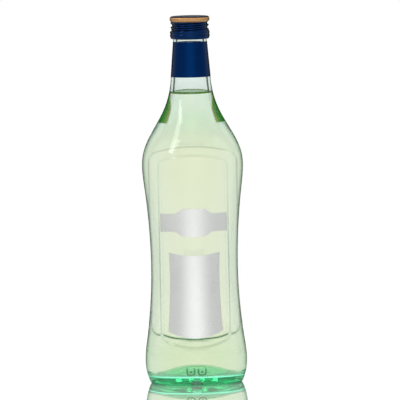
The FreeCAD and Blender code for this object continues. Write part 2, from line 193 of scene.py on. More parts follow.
def eased(points, outline, low, high, reach):
    """Points of an outline, between two heights drawn to its average over a reach up and down."""
    moved = []
    for radius, height in points:
        window = reach * smooth(height, low, low + 2 * reach) * (1 - smooth(height, high - 2 * reach, high))
        if radius > WAIST_R / 2 and window > 0:
            near = [radius_at(outline, height + window * n / TAPS) * (TAPS + 1 - abs(n))
                    for n in range(-TAPS, TAPS + 1)]
            radius = sum(near) / (TAPS + 1) ** 2
        moved.append((radius, height))
    return moved


# %% The body wall, from the base bulge to the shoulder's cone
def s_curve(low, high, convex_radius, convex_is_low):
    """Two tangent arcs between two upright spots of the wall: both centres, the hollow radius, the turn."""
    rise = high[1] - low[1]
    turn = 2 * math.atan(abs(high[0] - low[0]) / rise)
    hollow_radius = rise / math.sin(turn) - convex_radius
    wide, narrow = (low, high) if convex_is_low else (high, low)
    return (wide[0] - convex_radius, wide[1]), (narrow[0] + hollow_radius, narrow[1]), hollow_radius, turn


def wall_spans(inset, cone_angle):
    """The body wall inset by so much, and the point where the cone starts."""
    convex_low, hollow_low, hollow_low_r, turn_low = s_curve(
        (BULGE_R, BULGE_Z), (WAIST_R, WAIST_Z), BULGE_UPPER_CURVE, True)
    convex_high, hollow_high, hollow_high_r, turn_high = s_curve(
        (WAIST_R, WAIST_Z), (SHOULDER_R, SHOULDER_Z), SHOULDER_LOWER_CURVE, False)
    land = SHOULDER_Z + SHOULDER_LAND
    shoulder = arc((SHOULDER_R - SHOULDER_ROUND, land), SHOULDER_ROUND - inset, 0, cone_angle)
    spans = [
        arc(convex_low, BULGE_UPPER_CURVE - inset, 0, turn_low),
        arc(hollow_low, hollow_low_r + inset, math.pi + turn_low, math.pi),
        arc(hollow_high, hollow_high_r + inset, math.pi, math.pi - turn_high),
        arc(convex_high, SHOULDER_LOWER_CURVE - inset, -turn_high, 0),
        straight((SHOULDER_R - inset, SHOULDER_Z), (SHOULDER_R - inset, land)),
        shoulder,
    ]
    return spans, shoulder["point"](1.0)


# %% The cone, the hollow blend and the tapered neck
def neck_spans(cone_start, cone_angle, foot, top, curve):
    """From the end of the shoulder, up a cone and a hollow blend, to the straight taper's top."""
    cone = (-math.sin(cone_angle), math.cos(cone_angle))
    length = math.dist(foot, top)
    neck = ((top[0] - foot[0]) / length, (top[1] - foot[1]) / length)
    across = cone[0] * neck[1] - cone[1] * neck[0]
    gap = (foot[0] - cone_start[0], foot[1] - cone_start[1])
    reach = (gap[0] * neck[1] - gap[1] * neck[0]) / across
    corner = (cone_start[0] + cone[0] * reach, cone_start[1] + cone[1] * reach)
    neck_angle = math.atan2(-neck[0], neck[1])
    back = curve * math.tan((cone_angle - neck_angle) / 2)
    leaves = (corner[0] - cone[0] * back, corner[1] - cone[1] * back)
    centre = (leaves[0] + curve * cone[1], leaves[1] - curve * cone[0])
    hollow = arc(centre, curve, math.pi + cone_angle, math.pi + neck_angle)
    return [straight(cone_start, leaves), hollow, straight(hollow["point"](1.0), top)]


def neck_foot_height():
    """Height where the hollow blend runs into the straight neck."""
    taper = math.atan((NECK_FOOT_R - FINISH_R) / NECK_HEIGHT)
    start_r = SHOULDER_R - SHOULDER_ROUND * (1 - math.cos(CONE_ANGLE))
    start_z = SHOULDER_Z + SHOULDER_LAND + SHOULDER_ROUND * math.sin(CONE_ANGLE)
    end_r = NECK_FOOT_R + NECK_BLEND * (math.cos(taper) - math.cos(CONE_ANGLE))
    end_z = start_z + (start_r - end_r) / math.tan(CONE_ANGLE)
    return end_z + NECK_BLEND * (math.sin(CONE_ANGLE) - math.sin(taper))


NECK_FOOT_Z = neck_foot_height()
FINISH_Z = NECK_FOOT_Z + NECK_HEIGHT
MOUTH_Z = FINISH_Z + FINISH_HEIGHT
FILL_Z = MOUTH_Z - FILL_BELOW_MOUTH
print("mouth at", round(MOUTH_Z / MM, 2), "mm, vermouth up to", round(FILL_Z / MM, 2), "mm")

# %% The outside, from the middle of the punt to the lip's inner edge
WALL_CENTRE = (BULGE_R - BULGE_LOWER_CURVE, BULGE_Z)


def outside_spans():
    reach = BULGE_LOWER_CURVE - HEEL_ROUND
    heel_x = WALL_CENTRE[0] + math.sqrt(reach**2 - (BULGE_Z - HEEL_ROUND) ** 2)
    heel = (heel_x, HEEL_ROUND)
    heel_angle = math.atan2(heel[1] - WALL_CENTRE[1], heel[0] - WALL_CENTRE[0])
    ring = (heel_x - FOOT_RING, FOOT_INNER_ROUND)
    punt = (ring[0]**2 + (ring[1] - PUNT_HEIGHT) ** 2 - FOOT_INNER_ROUND**2) / (2 * PUNT_HEIGHT)
    punt_centre = (0, PUNT_HEIGHT - punt)
    slope = math.atan2(ring[1] - punt_centre[1], ring[0] - punt_centre[0])
    wall, cone_start = wall_spans(0, CONE_ANGLE)
    finish = (FINISH_R, FINISH_Z)
    lip = (FINISH_R - LIP_ROUND, MOUTH_Z - LIP_ROUND)
    return [
        arc(punt_centre, punt, math.pi / 2, slope),
        arc(ring, FOOT_INNER_ROUND, math.pi + slope, 1.5 * math.pi),
        straight((ring[0], 0), (heel_x, 0)),
        arc(heel, HEEL_ROUND, -math.pi / 2, heel_angle),
        arc(WALL_CENTRE, BULGE_LOWER_CURVE, heel_angle, 0),
        *wall,
        *neck_spans(cone_start, CONE_ANGLE, (NECK_FOOT_R, NECK_FOOT_Z), finish, NECK_BLEND),
        straight(finish, (FINISH_R, lip[1])),
        arc(lip, LIP_ROUND, 0, math.pi / 2),
        straight((lip[0], MOUTH_Z), (FINISH_R - LIP_WALL, MOUTH_Z)),
    ]


# %% The inside, from the middle of its floor to the lip's inner edge
def inside_spans():
    floor_centre = (0.0, FLOOR_TOP_Z - FLOOR_DOME)
    # The corner's circle touches the wall's circle from inside and the dome's from outside.
    to_wall, to_dome = BULGE_LOWER_CURVE - WALL - FLOOR_CORNER, FLOOR_DOME + FLOOR_CORNER
    dx, dz = WALL_CENTRE[0] - floor_centre[0], WALL_CENTRE[1] - floor_centre[1]
    apart = math.hypot(dx, dz)
    along = (to_dome**2 - to_wall**2 + apart**2) / (2 * apart)
    side = math.sqrt(to_dome**2 - along**2)
    corner = (floor_centre[0] + (along * dx + side * dz) / apart,
              floor_centre[1] + (along * dz - side * dx) / apart)
    wall_angle = math.atan2(corner[1] - WALL_CENTRE[1], corner[0] - WALL_CENTRE[0])
    floor_angle = math.atan2(corner[1] - floor_centre[1], corner[0] - floor_centre[0])
    wall, cone_start = wall_spans(WALL, INNER_CONE_ANGLE)
    bore_foot, bore_top = (NECK_FOOT_R - NECK_WALL, NECK_FOOT_Z), (FINISH_R - NECK_WALL, FINISH_Z)
    return [
        arc(floor_centre, FLOOR_DOME, math.pi / 2, floor_angle),
        arc(corner, FLOOR_CORNER, floor_angle - math.pi, wall_angle),
        arc(WALL_CENTRE, BULGE_LOWER_CURVE - WALL, wall_angle, 0),
        *wall,
        *neck_spans(cone_start, INNER_CONE_ANGLE, bore_foot, bore_top, BORE_BLEND),
        straight(bore_top, (FINISH_R - LIP_WALL, MOUTH_Z)),
    ]


# %% [markdown]
# ## Turning an outline
# A lathe is the natural tool for a bottle, and bmesh has one: spin copies a chain of vertices round
# the axis and joins the copies with faces. Each of its steps looks through the whole mesh, so a full
# turn of a fine outline is slow. A wedge is spun instead, and its copies are turned into place and
# merged along their seams and at the poles.

# %% The lathe
WEDGES = 9
MERGE = 0.002 * MM
SHARP = math.radians(60)  # a steeper edge than this isn't shaded smooth


def chain(bm, points):
    """Vertices joined in a row, in the plane x = 0 on the front's side."""
    verts = [bm.verts.new((0, -radius, height)) for radius, height in points]
    edges = [bm.edges.new(pair) for pair in zip(verts, verts[1:])]
    return verts + edges


def turn(bm, points, columns):
    """Adds the outline swept once round the axis."""
    wedge = bmesh.new()
    bmesh.ops.spin(wedge, geom=chain(wedge, points), cent=(0, 0, 0), axis=(0, 0, 1), dvec=(0, 0, 0),
                   angle=math.tau / WEDGES, steps=columns // WEDGES)
    slice_mesh = bpy.data.meshes.new("wedge")
    wedge.to_mesh(slice_mesh)
    wedge.free()
    for n in range(WEDGES):
        before = len(bm.verts)
        bm.from_mesh(slice_mesh)
        bm.verts.ensure_lookup_table()
        bmesh.ops.rotate(bm, cent=(0, 0, 0), verts=bm.verts[before:],
                         matrix=Matrix.Rotation(math.tau * n / WEDGES, 3, "Z"))
    bpy.data.meshes.remove(slice_mesh)
    bmesh.ops.remove_doubles(bm, verts=bm.verts[:], dist=MERGE)


def places(bm):
    """Each vertex, with its place and its distance from the axis."""
    for vert in bm.verts:
        yield vert, *vert.co, math.hypot(vert.co.x, vert.co.y)


def set_radius(vert, radius, new_radius):
    """Moves a vertex in or out, level and straight from the axis."""
    vert.co.x, vert.co.y = vert.co.x * new_radius / radius, vert.co.y * new_radius / radius


def finished(bm, name, materials):
    """The bmesh as a piece at the origin, its faces outward and smooth."""
    bmesh.ops.recalc_face_normals(bm, faces=bm.faces[:])
    for face in bm.faces:
        face.smooth = True
    for edge in bm.edges:
        edge.smooth = edge.calc_face_angle(0.0) < SHARP
    mesh = bpy.data.meshes.new(name)
    bm.to_mesh(mesh)
    open_edges = sum(1 for edge in bm.edges if not edge.is_manifold)
    volume = bm.calc_volume()
    bm.free()
    for material in materials:
        mesh.materials.append(material)
    piece = bpy.data.objects.new(name, mesh)
    bpy.context.scene.collection.objects.link(piece)
    print(f"{name}: {len(mesh.polygons)} faces, {open_edges} open edges, {volume / MM**3 / 1000:.2f} cm3")
    return piece


# %% [markdown]
# ## Nodes by the handful
# A material here is a short list of nodes. One helper places a node and fills its inputs, with a plain
# value or with a link from another node's socket. Effects that several finishes share, such as the
# ripple of moulded glass or the rub of handling, are built once as groups.

# %% Placing nodes
def add(tree, kind, inputs=None, **settings):
    """A shader node, with its settings, and its inputs given as values or as sockets to link."""
    node = tree.nodes.new("ShaderNode" + kind)
    for name, value in settings.items():
        setattr(node, name, value)
    for name, value in (inputs or {}).items():
        if isinstance(value, bpy.types.NodeSocket):
            tree.links.new(value, node.inputs[name])
        else:
            node.inputs[name].default_value = value
    return node


def group(name, inputs, outputs):
    """An empty node group: its tree, its inputs from numbers and vectors, and its outputs by name."""
    tree = bpy.data.node_groups.new(name, "ShaderNodeTree")
    for label, value in inputs.items():
        kind = "NodeSocketFloat" if isinstance(value, float) else "NodeSocketVector"
        socket = tree.interface.new_socket(name=label, in_out="INPUT", socket_type=kind)
        socket.default_value = value
    for label in outputs:
        tree.interface.new_socket(name=label, in_out="OUTPUT", socket_type="NodeSocketFloat")
    return tree, tree.nodes.new("NodeGroupInput").outputs, tree.nodes.new("NodeGroupOutput").inputs


def use(tree, node_group, inputs):
    """The outputs of a group placed in a material, with its own values."""
    return add(tree, "Group", inputs, node_tree=node_group).outputs


def blank_material(name):
    """A material with nothing in it but its output: the material, its tree, its output and its place."""
    material = bpy.data.materials.new(name)
    material.use_nodes = True
    tree = material.node_tree
    tree.nodes.clear()
    return material, tree, add(tree, "OutputMaterial").inputs, add(tree, "TexCoord").outputs["Object"]


# %% Sums on sockets
def maths(tree, operation, first, second=0.0):
    """One step of arithmetic on two sockets or numbers."""
    return add(tree, "Math", {0: first, 1: second}, operation=operation).outputs["Value"]


def times(tree, first, *others):
    """The product of sockets or numbers."""
    for other in others:
        first = maths(tree, "MULTIPLY", first, other)
    return first


def rest(tree, share):
    """What a share leaves of one."""
    return maths(tree, "SUBTRACT", 1.0, share)


def step(tree, value, low, high, at_low=0.0, at_high=1.0):
    """An easy step from one value to another as the input goes from low to high."""
    return add(tree, "MapRange", {
        "Value": value, "From Min": low, "From Max": high, "To Min": at_low, "To Max": at_high},
        interpolation_type="SMOOTHSTEP").outputs["Result"]


def between(tree, value, rise, fall):
    """One between two limits, with an easy step up at the first and down at the second."""
    return times(tree, step(tree, value, *rise), step(tree, value, *fall, 1.0, 0.0))


def z_part(tree, vector):
    """The Z part of a place or a direction."""
    return add(tree, "SeparateXYZ", {"Vector": vector}).outputs["Z"]


def noise(tree, vector, scale, detail, **more):
    """Cloudy noise, from 0 to 1."""
    inputs = {"Vector": vector, "Scale": scale, "Detail": detail, **more}
    return add(tree, "TexNoise", inputs).outputs["Fac"]


def blend(tree, factor, first, second):
    """A colour between two, each given as a socket or as three numbers."""
    first, second = (end if isinstance(end, bpy.types.NodeSocket) else (*end, 1) for end in (first, second))
    mixed = add(tree, "Mix", {"Factor": factor, "A": first, "B": second}, data_type="RGBA")
    return mixed.outputs["Result"]


# %% Groups: the slow ripple that a mould leaves in glass, and hairlines drawn out along one direction
RIPPLE_STRETCH, FINE_SHARE = (1, 1, 0.35), 0.06
LINE_FROM, LINE_FULL = 0.58, 0.72  # where a grain's noise becomes a line


def make_ripple():
    tree, given, result = group(
        "mould_ripple", {"Vector": (0, 0, 0), "Broad Scale": 40.0, "Fine Scale": 260.0}, ["Height"])
    stretched = add(tree, "Mapping", {"Vector": given["Vector"], "Scale": RIPPLE_STRETCH})
    broad = noise(tree, stretched.outputs["Vector"], given["Broad Scale"], 1.0)
    faint = times(tree, noise(tree, given["Vector"], given["Fine Scale"], 2.0), FINE_SHARE)
    tree.links.new(maths(tree, "ADD", broad, faint), result["Height"])
    return tree


def make_hairlines():
    tree, given, result = group(
        "hairlines", {"Vector": (0, 0, 0), "Stretch": (1, 1, 1), "Scale": 900.0, "Detail": 3.0},
        ["Height", "Lines"])
    drawn = add(tree, "VectorMath", {0: given["Vector"], 1: given["Stretch"]}, operation="MULTIPLY")
    grain = noise(tree, drawn.outputs["Vector"], given["Scale"], given["Detail"], Roughness=0.6)
    tree.links.new(grain, result["Height"])
    tree.links.new(step(tree, grain, LINE_FROM, LINE_FULL), result["Lines"])
    return tree


RIPPLE, HAIRLINES = make_ripple(), make_hairlines()


# %% Groups: the rub of handling, a soft cloudy change of shine, and wear on raised edges
CLOUD_LOW, CLOUD_HIGH = 0.3, 0.7  # the span of the noise that is used


def make_rub():
    tree, given, result = group(
        "rub", {"Vector": (0, 0, 0), "Scale": 60.0, "Low": 0.2, "High": 0.3}, ["Roughness", "Clouds"])
    clouds = noise(tree, given["Vector"], given["Scale"], 3.0, Distortion=0.6)
    spread = add(tree, "MapRange", {
        "Value": clouds, "From Min": CLOUD_LOW, "From Max": CLOUD_HIGH,
        "To Min": given["Low"], "To Max": given["High"]})
    tree.links.new(spread.outputs["Result"], result["Roughness"])
    tree.links.new(clouds, result["Clouds"])
    return tree


def make_edge_wear():
    tree, given, result = group(
        "edge_wear", {"Vector": (0, 0, 0), "From": 0.55, "To": 0.7, "Scale": 500.0}, ["Worn"])
    raised = add(tree, "NewGeometry").outputs["Pointiness"]
    edge = add(tree, "MapRange", {"Value": raised, "From Min": given["From"], "From Max": given["To"]})
    patchy = noise(tree, given["Vector"], given["Scale"], 2.0)
    tree.links.new(times(tree, edge.outputs["Result"], patchy), result["Worn"])
    return tree


RUB, EDGE_WEAR = make_rub(), make_edge_wear()
print("shared groups:", [g.name for g in bpy.data.node_groups])

# %% [markdown]
# ## Bottle glass and the drink
# Pale green bottle glass has no colour on its surface. Its green comes from inside, from the way that
# light has to go through it: the wall looks almost clear, and the thick heel looks deep green. A
# Volume Absorption does just that. The drink is the same idea with another colour, a faint straw.
# Where they are seen edge on, at the rim, beside the bore and over the base, a real bottle looks darker
# and greener than this plain studio makes it, so painted shade and green in the surface colour stand in
# there.

# %% The stippled ring that the bottle stands on
FOOT_FACING = 0.30, 0.60  # how squarely it faces down, from not at all to fully
FOOT_FADE = 3.0 * MM, 4.5 * MM
FOOT_FROST = 0.6


def underside(tree, place):
    """One on the bottle's underside, where the glass faces down, and nothing elsewhere."""
    surface = add(tree, "NewGeometry").outputs
    outward = maths(tree, "SUBTRACT", times(tree, surface["Backfacing"], 2.0), 1.0)
    facing_down = step(tree, times(tree, z_part(tree, surface["True Normal"]), outward), *FOOT_FACING)
    return times(tree, facing_down, step(tree, z_part(tree, place), *FOOT_FADE, 1.0, 0.0))


# %% Painted shade on the glass: dark green at its rim, along the panels' edges and beside the bore, and a painted green underneath
HEEL_RIM_SHADE, RIM_SHADE_GREEN = (0.12, 0.68, 0.32), (0.03, 0.10, 0.03)
LINE_SHADE_GREEN, UNDER_PAINTED_GREEN = (0.0005, 0.05, 0.006), (0.50, 1.00, 0.85)
BORE_SHADE_PALE, BORE_SHADE_DEEP = (0.14, 0.20, 0.008), (0.002, 0.085, 0.0003)
HEEL_FADE = 11 * MM, 17 * MM
BORE_LOW, BORE_HIGH, BORE_NARROWS = 210.5 * MM, 234.2 * MM, 220.2 * MM
# How far a face is turned away, 0 facing us and 1 edge on, where each painted shade starts and is full.
RIM_FACING = 0.56, 0.96
BORE_FACING = 0.345, 0.56  # the bore's edge, low in the neck and at its top
BORE_EDGE, BORE_CORE = (0.0, 0.05), (0.03, 0.16)  # beyond that edge


def glass_painted_shade(tree, place, facing):
    """Painted shade: green at the rim and along the panels' edges and marks, deep beside the bore, a paler
    painted green under the foot.
    """
    height = z_part(tree, place)
    # Painted shade at the rim: dark green where the glass is seen edge on, a lighter green near the heel.
    side = blend(tree, step(tree, height, *HEEL_FADE), HEEL_RIM_SHADE, RIM_SHADE_GREEN)
    rim = blend(tree, step(tree, facing, *RIM_FACING), (1, 1, 1), side)
    # Painted shade: a dark green line along the panels' edges and the heel's marks, from an attribute of
    # the mesh.
    lined = blend(tree, add(tree, "Attribute", attribute_name="pressed").outputs["Fac"], rim, LINE_SHADE_GREEN)
    # A painted green on the faces under the foot, where a real bottle looks greener than this studio makes
    # it.
    footed = blend(tree, underside(tree, place), lined, UNDER_PAINTED_GREEN)
    # Painted shade beside the bore: a deep green, only where the camera looks first, by how edge on the
    # face is.
    neck = between(tree, height, (BORE_LOW - MM, BORE_LOW), (BORE_HIGH - MM, BORE_HIGH))
    edge = step(tree, height, BORE_NARROWS, BORE_HIGH, *BORE_FACING)
    beyond = maths(tree, "SUBTRACT", facing, edge)
    nearest = add(tree, "LightPath").outputs["Is Camera Ray"]
    beside = times(tree, nearest, neck, step(tree, beyond, *BORE_EDGE))
    return blend(tree, beside, footed, blend(tree, step(tree, beyond, *BORE_CORE), BORE_SHADE_PALE, BORE_SHADE_DEEP))


# %% Painted shade on the drink
LOW_GREEN, EDGE_SHADE_GREEN = (0.91, 0.96, 0.90), (0.22, 0.34, 0.04)
BASE_PAINTED_MINT, RING_SHADE_GREEN = (0.40, 1.00, 0.77), (0.008, 0.05, 0.0005)
LOW_FADE, BASE_FADE = (18 * MM, 52 * MM), (22 * MM, 26 * MM)
EDGE_FACING, LEVEL = (0.72, 0.96), (0.72, 0.86)
RING, RING_SHARP = 1.1 * MM, 0.8  # height of the painted dark line along the drink's edge, and how sharply it ends


def drink_painted_shade(tree, place, facing):
    """Painted shade: green where it is seen edge on, a painted mint over the thick base, dark at its top,
    and a faint green towards the bottom.
    """
    height = z_part(tree, place)
    middle = blend(tree, step(tree, height, *LOW_FADE, 1.0, 0.0), (1, 1, 1), LOW_GREEN)
    # Painted shade: green where the drink is seen edge on.
    edge = blend(tree, step(tree, facing, *EDGE_FACING), middle, EDGE_SHADE_GREEN)
    surface = add(tree, "NewGeometry").outputs
    # A painted mint on its level faces low down, over the thick base.
    level = step(tree, maths(tree, "ABSOLUTE", z_part(tree, surface["Normal"])), *LEVEL)
    based = blend(tree, times(tree, level, step(tree, height, *BASE_FADE, 1.0, 0.0)), edge, BASE_PAINTED_MINT)
    # Painted shade: dark from just under its level upward, on faces turned to the eye.
    ring = times(tree, rest(tree, surface["Backfacing"]),
                 step(tree, height, FILL_Z - RING, FILL_Z - RING_SHARP * RING))
    return blend(tree, ring, based, RING_SHADE_GREEN)


# %% Clear materials with colour in their depth
RIPPLE_DEPTH = 0.4 * MM


def clear(name, painted_shade, ior, colour, density, ripple=0.0, frost=0.0):
    """Something clear: tinted by what lies between its faces, and by painted shade in its surface colour.
    """
    material, tree, output, place = blank_material(name)
    bump = add(tree, "Bump", {
        "Height": use(tree, RIPPLE, {"Vector": place})["Height"], "Strength": ripple,
        "Distance": RIPPLE_DEPTH})
    facing = add(tree, "LayerWeight", {"Blend": 0.5}).outputs["Facing"]
    # The base colour is painted shade, from the function given for it.
    surface = add(tree, "BsdfPrincipled", {
        "Base Color": painted_shade(tree, place, facing), "Roughness": times(tree, underside(tree, place), frost),
        "IOR": ior, "Transmission Weight": 1.0, "Normal": bump.outputs["Normal"]})
    depth = add(tree, "VolumeAbsorption", {"Color": (*colour, 1), "Density": density})
    tree.links.new(surface.outputs["BSDF"], output["Surface"])
    tree.links.new(depth.outputs["Volume"], output["Volume"])
    return material


GLASS = clear("bottle_glass", glass_painted_shade, ior=1.52, colour=(0.02, 0.83, 0.42), density=23.0,
              ripple=0.12, frost=FOOT_FROST)
# A real drink bends light more than this. The higher value would turn its sides dark in this studio.
DRINK = clear("vermouth", drink_painted_shade, ior=1.15, colour=(0.922, 0.922, 0.07), density=4.5)
print("clear materials:", GLASS.name, "and", DRINK.name)

# %% [markdown]
# ## The glass
# The real bottle is blown into a mould, so its outside carries every detail and its inside is just
# smooth. Cutting the panels with a boolean would leave long thin faces that show as cracks in glass.
# Instead the whole skin is turned first, with its rows and columns gathered where the panels' edges
# will be, and then pressed in by moving vertices, as the mould presses the soft glass.

# %% Where rows gather
FINE_ROW, FOOT_ROW, BODY_ROW, NECK_ROW = 0.6 * MM, 0.45 * MM, 2.4 * MM, 3.0 * MM
PANEL_TOP_Z = SHOULDER_Z + SHOULDER_LAND + PANEL_ABOVE_SHOULDER
EDGE_MARGIN = 1.5 * MM
MARK_ROW, MARK_ROWS_TO = 0.9 * MM, 15.8 * MM


def corner_height(arch, upward, edge_z):
    """Height where the panel's corner runs into its upright side."""
    reach = math.sqrt((arch - PANEL_CORNER) ** 2 - (PANEL_HALF_WIDTH - PANEL_CORNER) ** 2)
    return edge_z - upward * (arch - reach)


CORNER_LOW_Z = corner_height(PANEL_BOTTOM_ARCH, -1, PANEL_BOTTOM_Z)
CORNER_HIGH_Z = corner_height(PANEL_TOP_ARCH, 1, PANEL_TOP_Z)
# The mould's shoulder is rounder than arcs and straight runs, so its outline is averaged there.
EASE_FROM, EASE_TO, EASE_REACH = WAIST_Z, SHOULDER_Z + 38 * MM, 12 * MM
SAMPLE = 0.1 * MM  # spacing of the outlines that are averaged


def skin_spacing(height):
    """Row spacing of the outside: fine at the foot, by the marks and along the panels' curved edges."""
    if height < NOTCH_HEIGHT + EDGE_MARGIN:
        return FOOT_ROW
    if height < MARK_ROWS_TO:
        return MARK_ROW
    if PANEL_BOTTOM_Z - EDGE_MARGIN < height < CORNER_LOW_Z + EDGE_MARGIN:
        return FINE_ROW
    if CORNER_HIGH_Z - EDGE_MARGIN < height < PANEL_TOP_Z + EDGE_MARGIN:
        return FINE_ROW
    return BODY_ROW if height < NECK_FOOT_Z else NECK_ROW


SKIN = outside_spans()
UPRIGHT_SKIN = walk(SKIN[4:-2], even(SAMPLE))  # from the bulge to the lip
SKIN_ROWS = eased(walk(SKIN, skin_spacing), UPRIGHT_SKIN, EASE_FROM, EASE_TO, EASE_REACH)
FIRST_UPRIGHT = max(n for n, (radius, height) in enumerate(SKIN_ROWS) if height < HEEL_ROUND)
print("outside rows:", len(SKIN_ROWS))

# %% The skin's radius and slope at any height
BESIDE = 0.5 * MM


def skin_radius(height):
    """Radius of the outside at that height, from the heel up."""
    return radius_at(SKIN_ROWS[FIRST_UPRIGHT:], height)


def skin_normal(height):
    """The outside's normal at that height, as (outward, upward)."""
    slope = (skin_radius(height + BESIDE) - skin_radius(height - BESIDE)) / (2 * BESIDE)
    length = math.hypot(1, slope)
    return 1 / length, -slope / length


# %% How deep a panel is at a point
SIDE_EDGE, TOP_EDGE, BOTTOM_EDGE = 21.0 * MM, 1.8 * MM, 2.8 * MM


def rounded(side, end, corner):
    """Distance outside a corner rounded so much, from the distances outside its two sides."""
    side, end = side + corner, end + corner
    return math.hypot(max(side, 0.0), max(end, 0.0)) + min(max(side, end), 0.0) - corner


def panel_parts(x, radius, height):
    """How much of the panel's depth its sides, its top and its bottom edge leave, each from 0 to 1."""
    across = radius * (math.asin(min(abs(x) / radius, 1.0)) - panel_side(radius))
    over = math.hypot(x, max(height - PANEL_TOP_Z + PANEL_TOP_ARCH, 0.0)) - PANEL_TOP_ARCH
    under = math.hypot(x, min(height - PANEL_BOTTOM_Z - PANEL_BOTTOM_ARCH, 0.0)) - PANEL_BOTTOM_ARCH
    top, bottom = rounded(across, over, PANEL_CORNER), rounded(across, under, PANEL_CORNER)
    return within(across, SIDE_EDGE), within(top, TOP_EDGE), within(bottom, BOTTOM_EDGE)


def panel_share(x, radius, height):
    """How much of the panel's depth a point of the skin has, in front or behind, from 0 to 1."""
    return math.prod(panel_parts(x, radius, height))


def panel_side(radius):
    """Angle from the front to the panel's upright side, where the wall has that radius."""
    return math.asin(PANEL_HALF_WIDTH / max(radius, WAIST_R))


# %% Gather the columns along the panels' sides
COLUMNS_PER_BAR, FOOT_BARS = 3, 90
COLUMNS = COLUMNS_PER_BAR * FOOT_BARS
EVEN_SIDE = math.radians(48)
TIGHTNESS = 0.4
GATHER_FROM, GATHER_FULL = 5.0 * MM, 20.0 * MM  # heights


def gather_columns(bm):
    """Slides each vertex round the axis, so that columns run along the panels' sides."""
    for vert, x, y, z, radius in places(bm):
        angle = math.atan2(abs(x), abs(y))
        side = panel_side(radius)
        if angle > EVEN_SIDE:
            share, room = (angle - EVEN_SIDE) / (math.pi / 2 - EVEN_SIDE), math.pi / 2 - side
        else:
            share, room = angle / EVEN_SIDE - 1, side
        place = side + share * (TIGHTNESS + (1 - TIGHTNESS) * abs(share)) * room
        gathered = smooth(z, GATHER_FROM, GATHER_FULL) * (1 - smooth(z, NECK_FOOT_Z, FINISH_Z))
        place = angle + (place - angle) * gathered
        vert.co.x = math.copysign(radius * math.sin(place), x)
        vert.co.y = math.copysign(radius * math.cos(place), y)


# %% Press in the panels, the notch and the foot's bars
NOTCH_EDGE = 0.7 * MM
BAR_DEPTH = 0.3 * MM
BAR_FADE_Z = 1.0 * MM
TOP_LINE, FRONT_LINE = 0.35, 0.30  # how dark the painted shade line is at a panel's top edge, and along the front panel's edges
LINE_GAIN = 6.0  # an edge is steepest half way down it, and its painted shade line is widened by this


def press_panels(bm):
    """Sinks the two panels, crisp above and below and soft at the sides, and marks their edges for a
    painted dark line.
    """
    pressed = bm.verts.layers.float.new("pressed")
    for vert, x, y, z, radius in places(bm):
        if not PANEL_BOTTOM_Z - BOTTOM_EDGE < z < PANEL_TOP_Z + TOP_EDGE:
            continue
        sides, top, bottom = panel_parts(x, radius, z)
        share = sides * top * bottom
        # The painted shade line follows each panel's top and bottom edge, and is darkest on the back panel.
        steep = TOP_LINE * top * (1 - top) * bottom + bottom * (1 - bottom) * top
        vert[pressed] = min(LINE_GAIN * steep, 1.0) * sides * (1.0 if y > 0 else FRONT_LINE)
        outward, upward = skin_normal(z)
        sunk = radius - share * PANEL_DEPTH * outward
        vert.co = (x * sunk / radius, y * sunk / radius, z - share * PANEL_DEPTH * upward)


def press_notch(bm):
    """Sinks the small pocket at the front of the heel that turns the bottle for its labels."""
    floor_y = NOTCH_DEPTH - skin_radius(NOTCH_HEIGHT / 2)
    for vert, x, y, z, radius in places(bm):
        if y < floor_y and z < NOTCH_HEIGHT + NOTCH_EDGE:
            outside = rounded(abs(x) - NOTCH_HALF_WIDTH, z - NOTCH_HEIGHT, NOTCH_CORNER)
            vert.co.y = y + (floor_y - y) * within(outside, NOTCH_EDGE)


def groove_foot(bm):
    """Lifts every third column of the foot ring, which leaves a ring of short bars to stand on."""
    inner = SKIN[2]["point"](0.0)[0] - FOOT_INNER_ROUND / 2
    for vert, x, y, z, radius in places(bm):
        column = round(math.atan2(x, -y) / math.tau * COLUMNS)
        if column % COLUMNS_PER_BAR == 0 and radius > inner:
            vert.co.z = z + BAR_DEPTH * (1 - smooth(z, 0.0, BAR_FADE_Z))


# %% Raise the two mould marks on the heel's front
MARK_X, MARK_Z = 4.5 * MM, 11.2 * MM
MARK_HALF_WIDTH, MARK_HALF_HEIGHT, MARK_CORNER = 3.0 * MM, 2.2 * MM, 2.0 * MM
MARK_PROUD, MARK_CORE, MARK_REACH = 0.28 * MM, 0.34 * MM, 0.76 * MM
DOT = 0.35 * MM
MARK_CUTS = 3


def mark_distance(x, z):
    """Distance to a mark's line: a cup open at the top, with a dot in it."""
    x, z = abs(abs(x) - MARK_X), z - MARK_Z
    cup = abs(rounded(x - MARK_HALF_WIDTH, -z - MARK_HALF_HEIGHT, MARK_CORNER))
    if z > MARK_HALF_HEIGHT:
        cup = math.hypot(x - MARK_HALF_WIDTH, z - MARK_HALF_HEIGHT)
    return min(cup, max(math.hypot(x, z) - DOT, 0.0))


def raise_marks(bm):
    """Cuts the heel's front finer there, puts the new vertices on the skin, and raises the marks, which
    carry the same painted dark line.
    """
    reach = MARK_X + MARK_HALF_WIDTH + 2 * MARK_REACH
    low = MARK_Z - MARK_HALF_HEIGHT - 2 * MARK_REACH
    high = MARK_Z + MARK_HALF_HEIGHT + 2 * MARK_REACH

    def near(x, y, z, spare):
        outer = math.hypot(x, y) > WAIST_R
        return outer and abs(x) < reach + spare and y < 0 and low - spare < z < high + spare

    faces = {face for face in bm.faces if near(*face.calc_center_median(), 0.0)}
    edges = [edge for edge in bm.edges if not faces.isdisjoint(edge.link_faces)]
    pressed = bm.verts.layers.float["pressed"]
    bmesh.ops.subdivide_edges(bm, edges=edges, cuts=MARK_CUTS, use_grid_fill=True)
    for vert, x, y, z, _ in places(bm):
        if near(x, y, z, MM):
            vert[pressed] = 1 - smooth(mark_distance(x, z), MARK_CORE, MARK_REACH)
            radius = skin_radius(z) + MARK_PROUD * vert[pressed]
            vert.co.y = -math.sqrt(radius**2 - x**2)


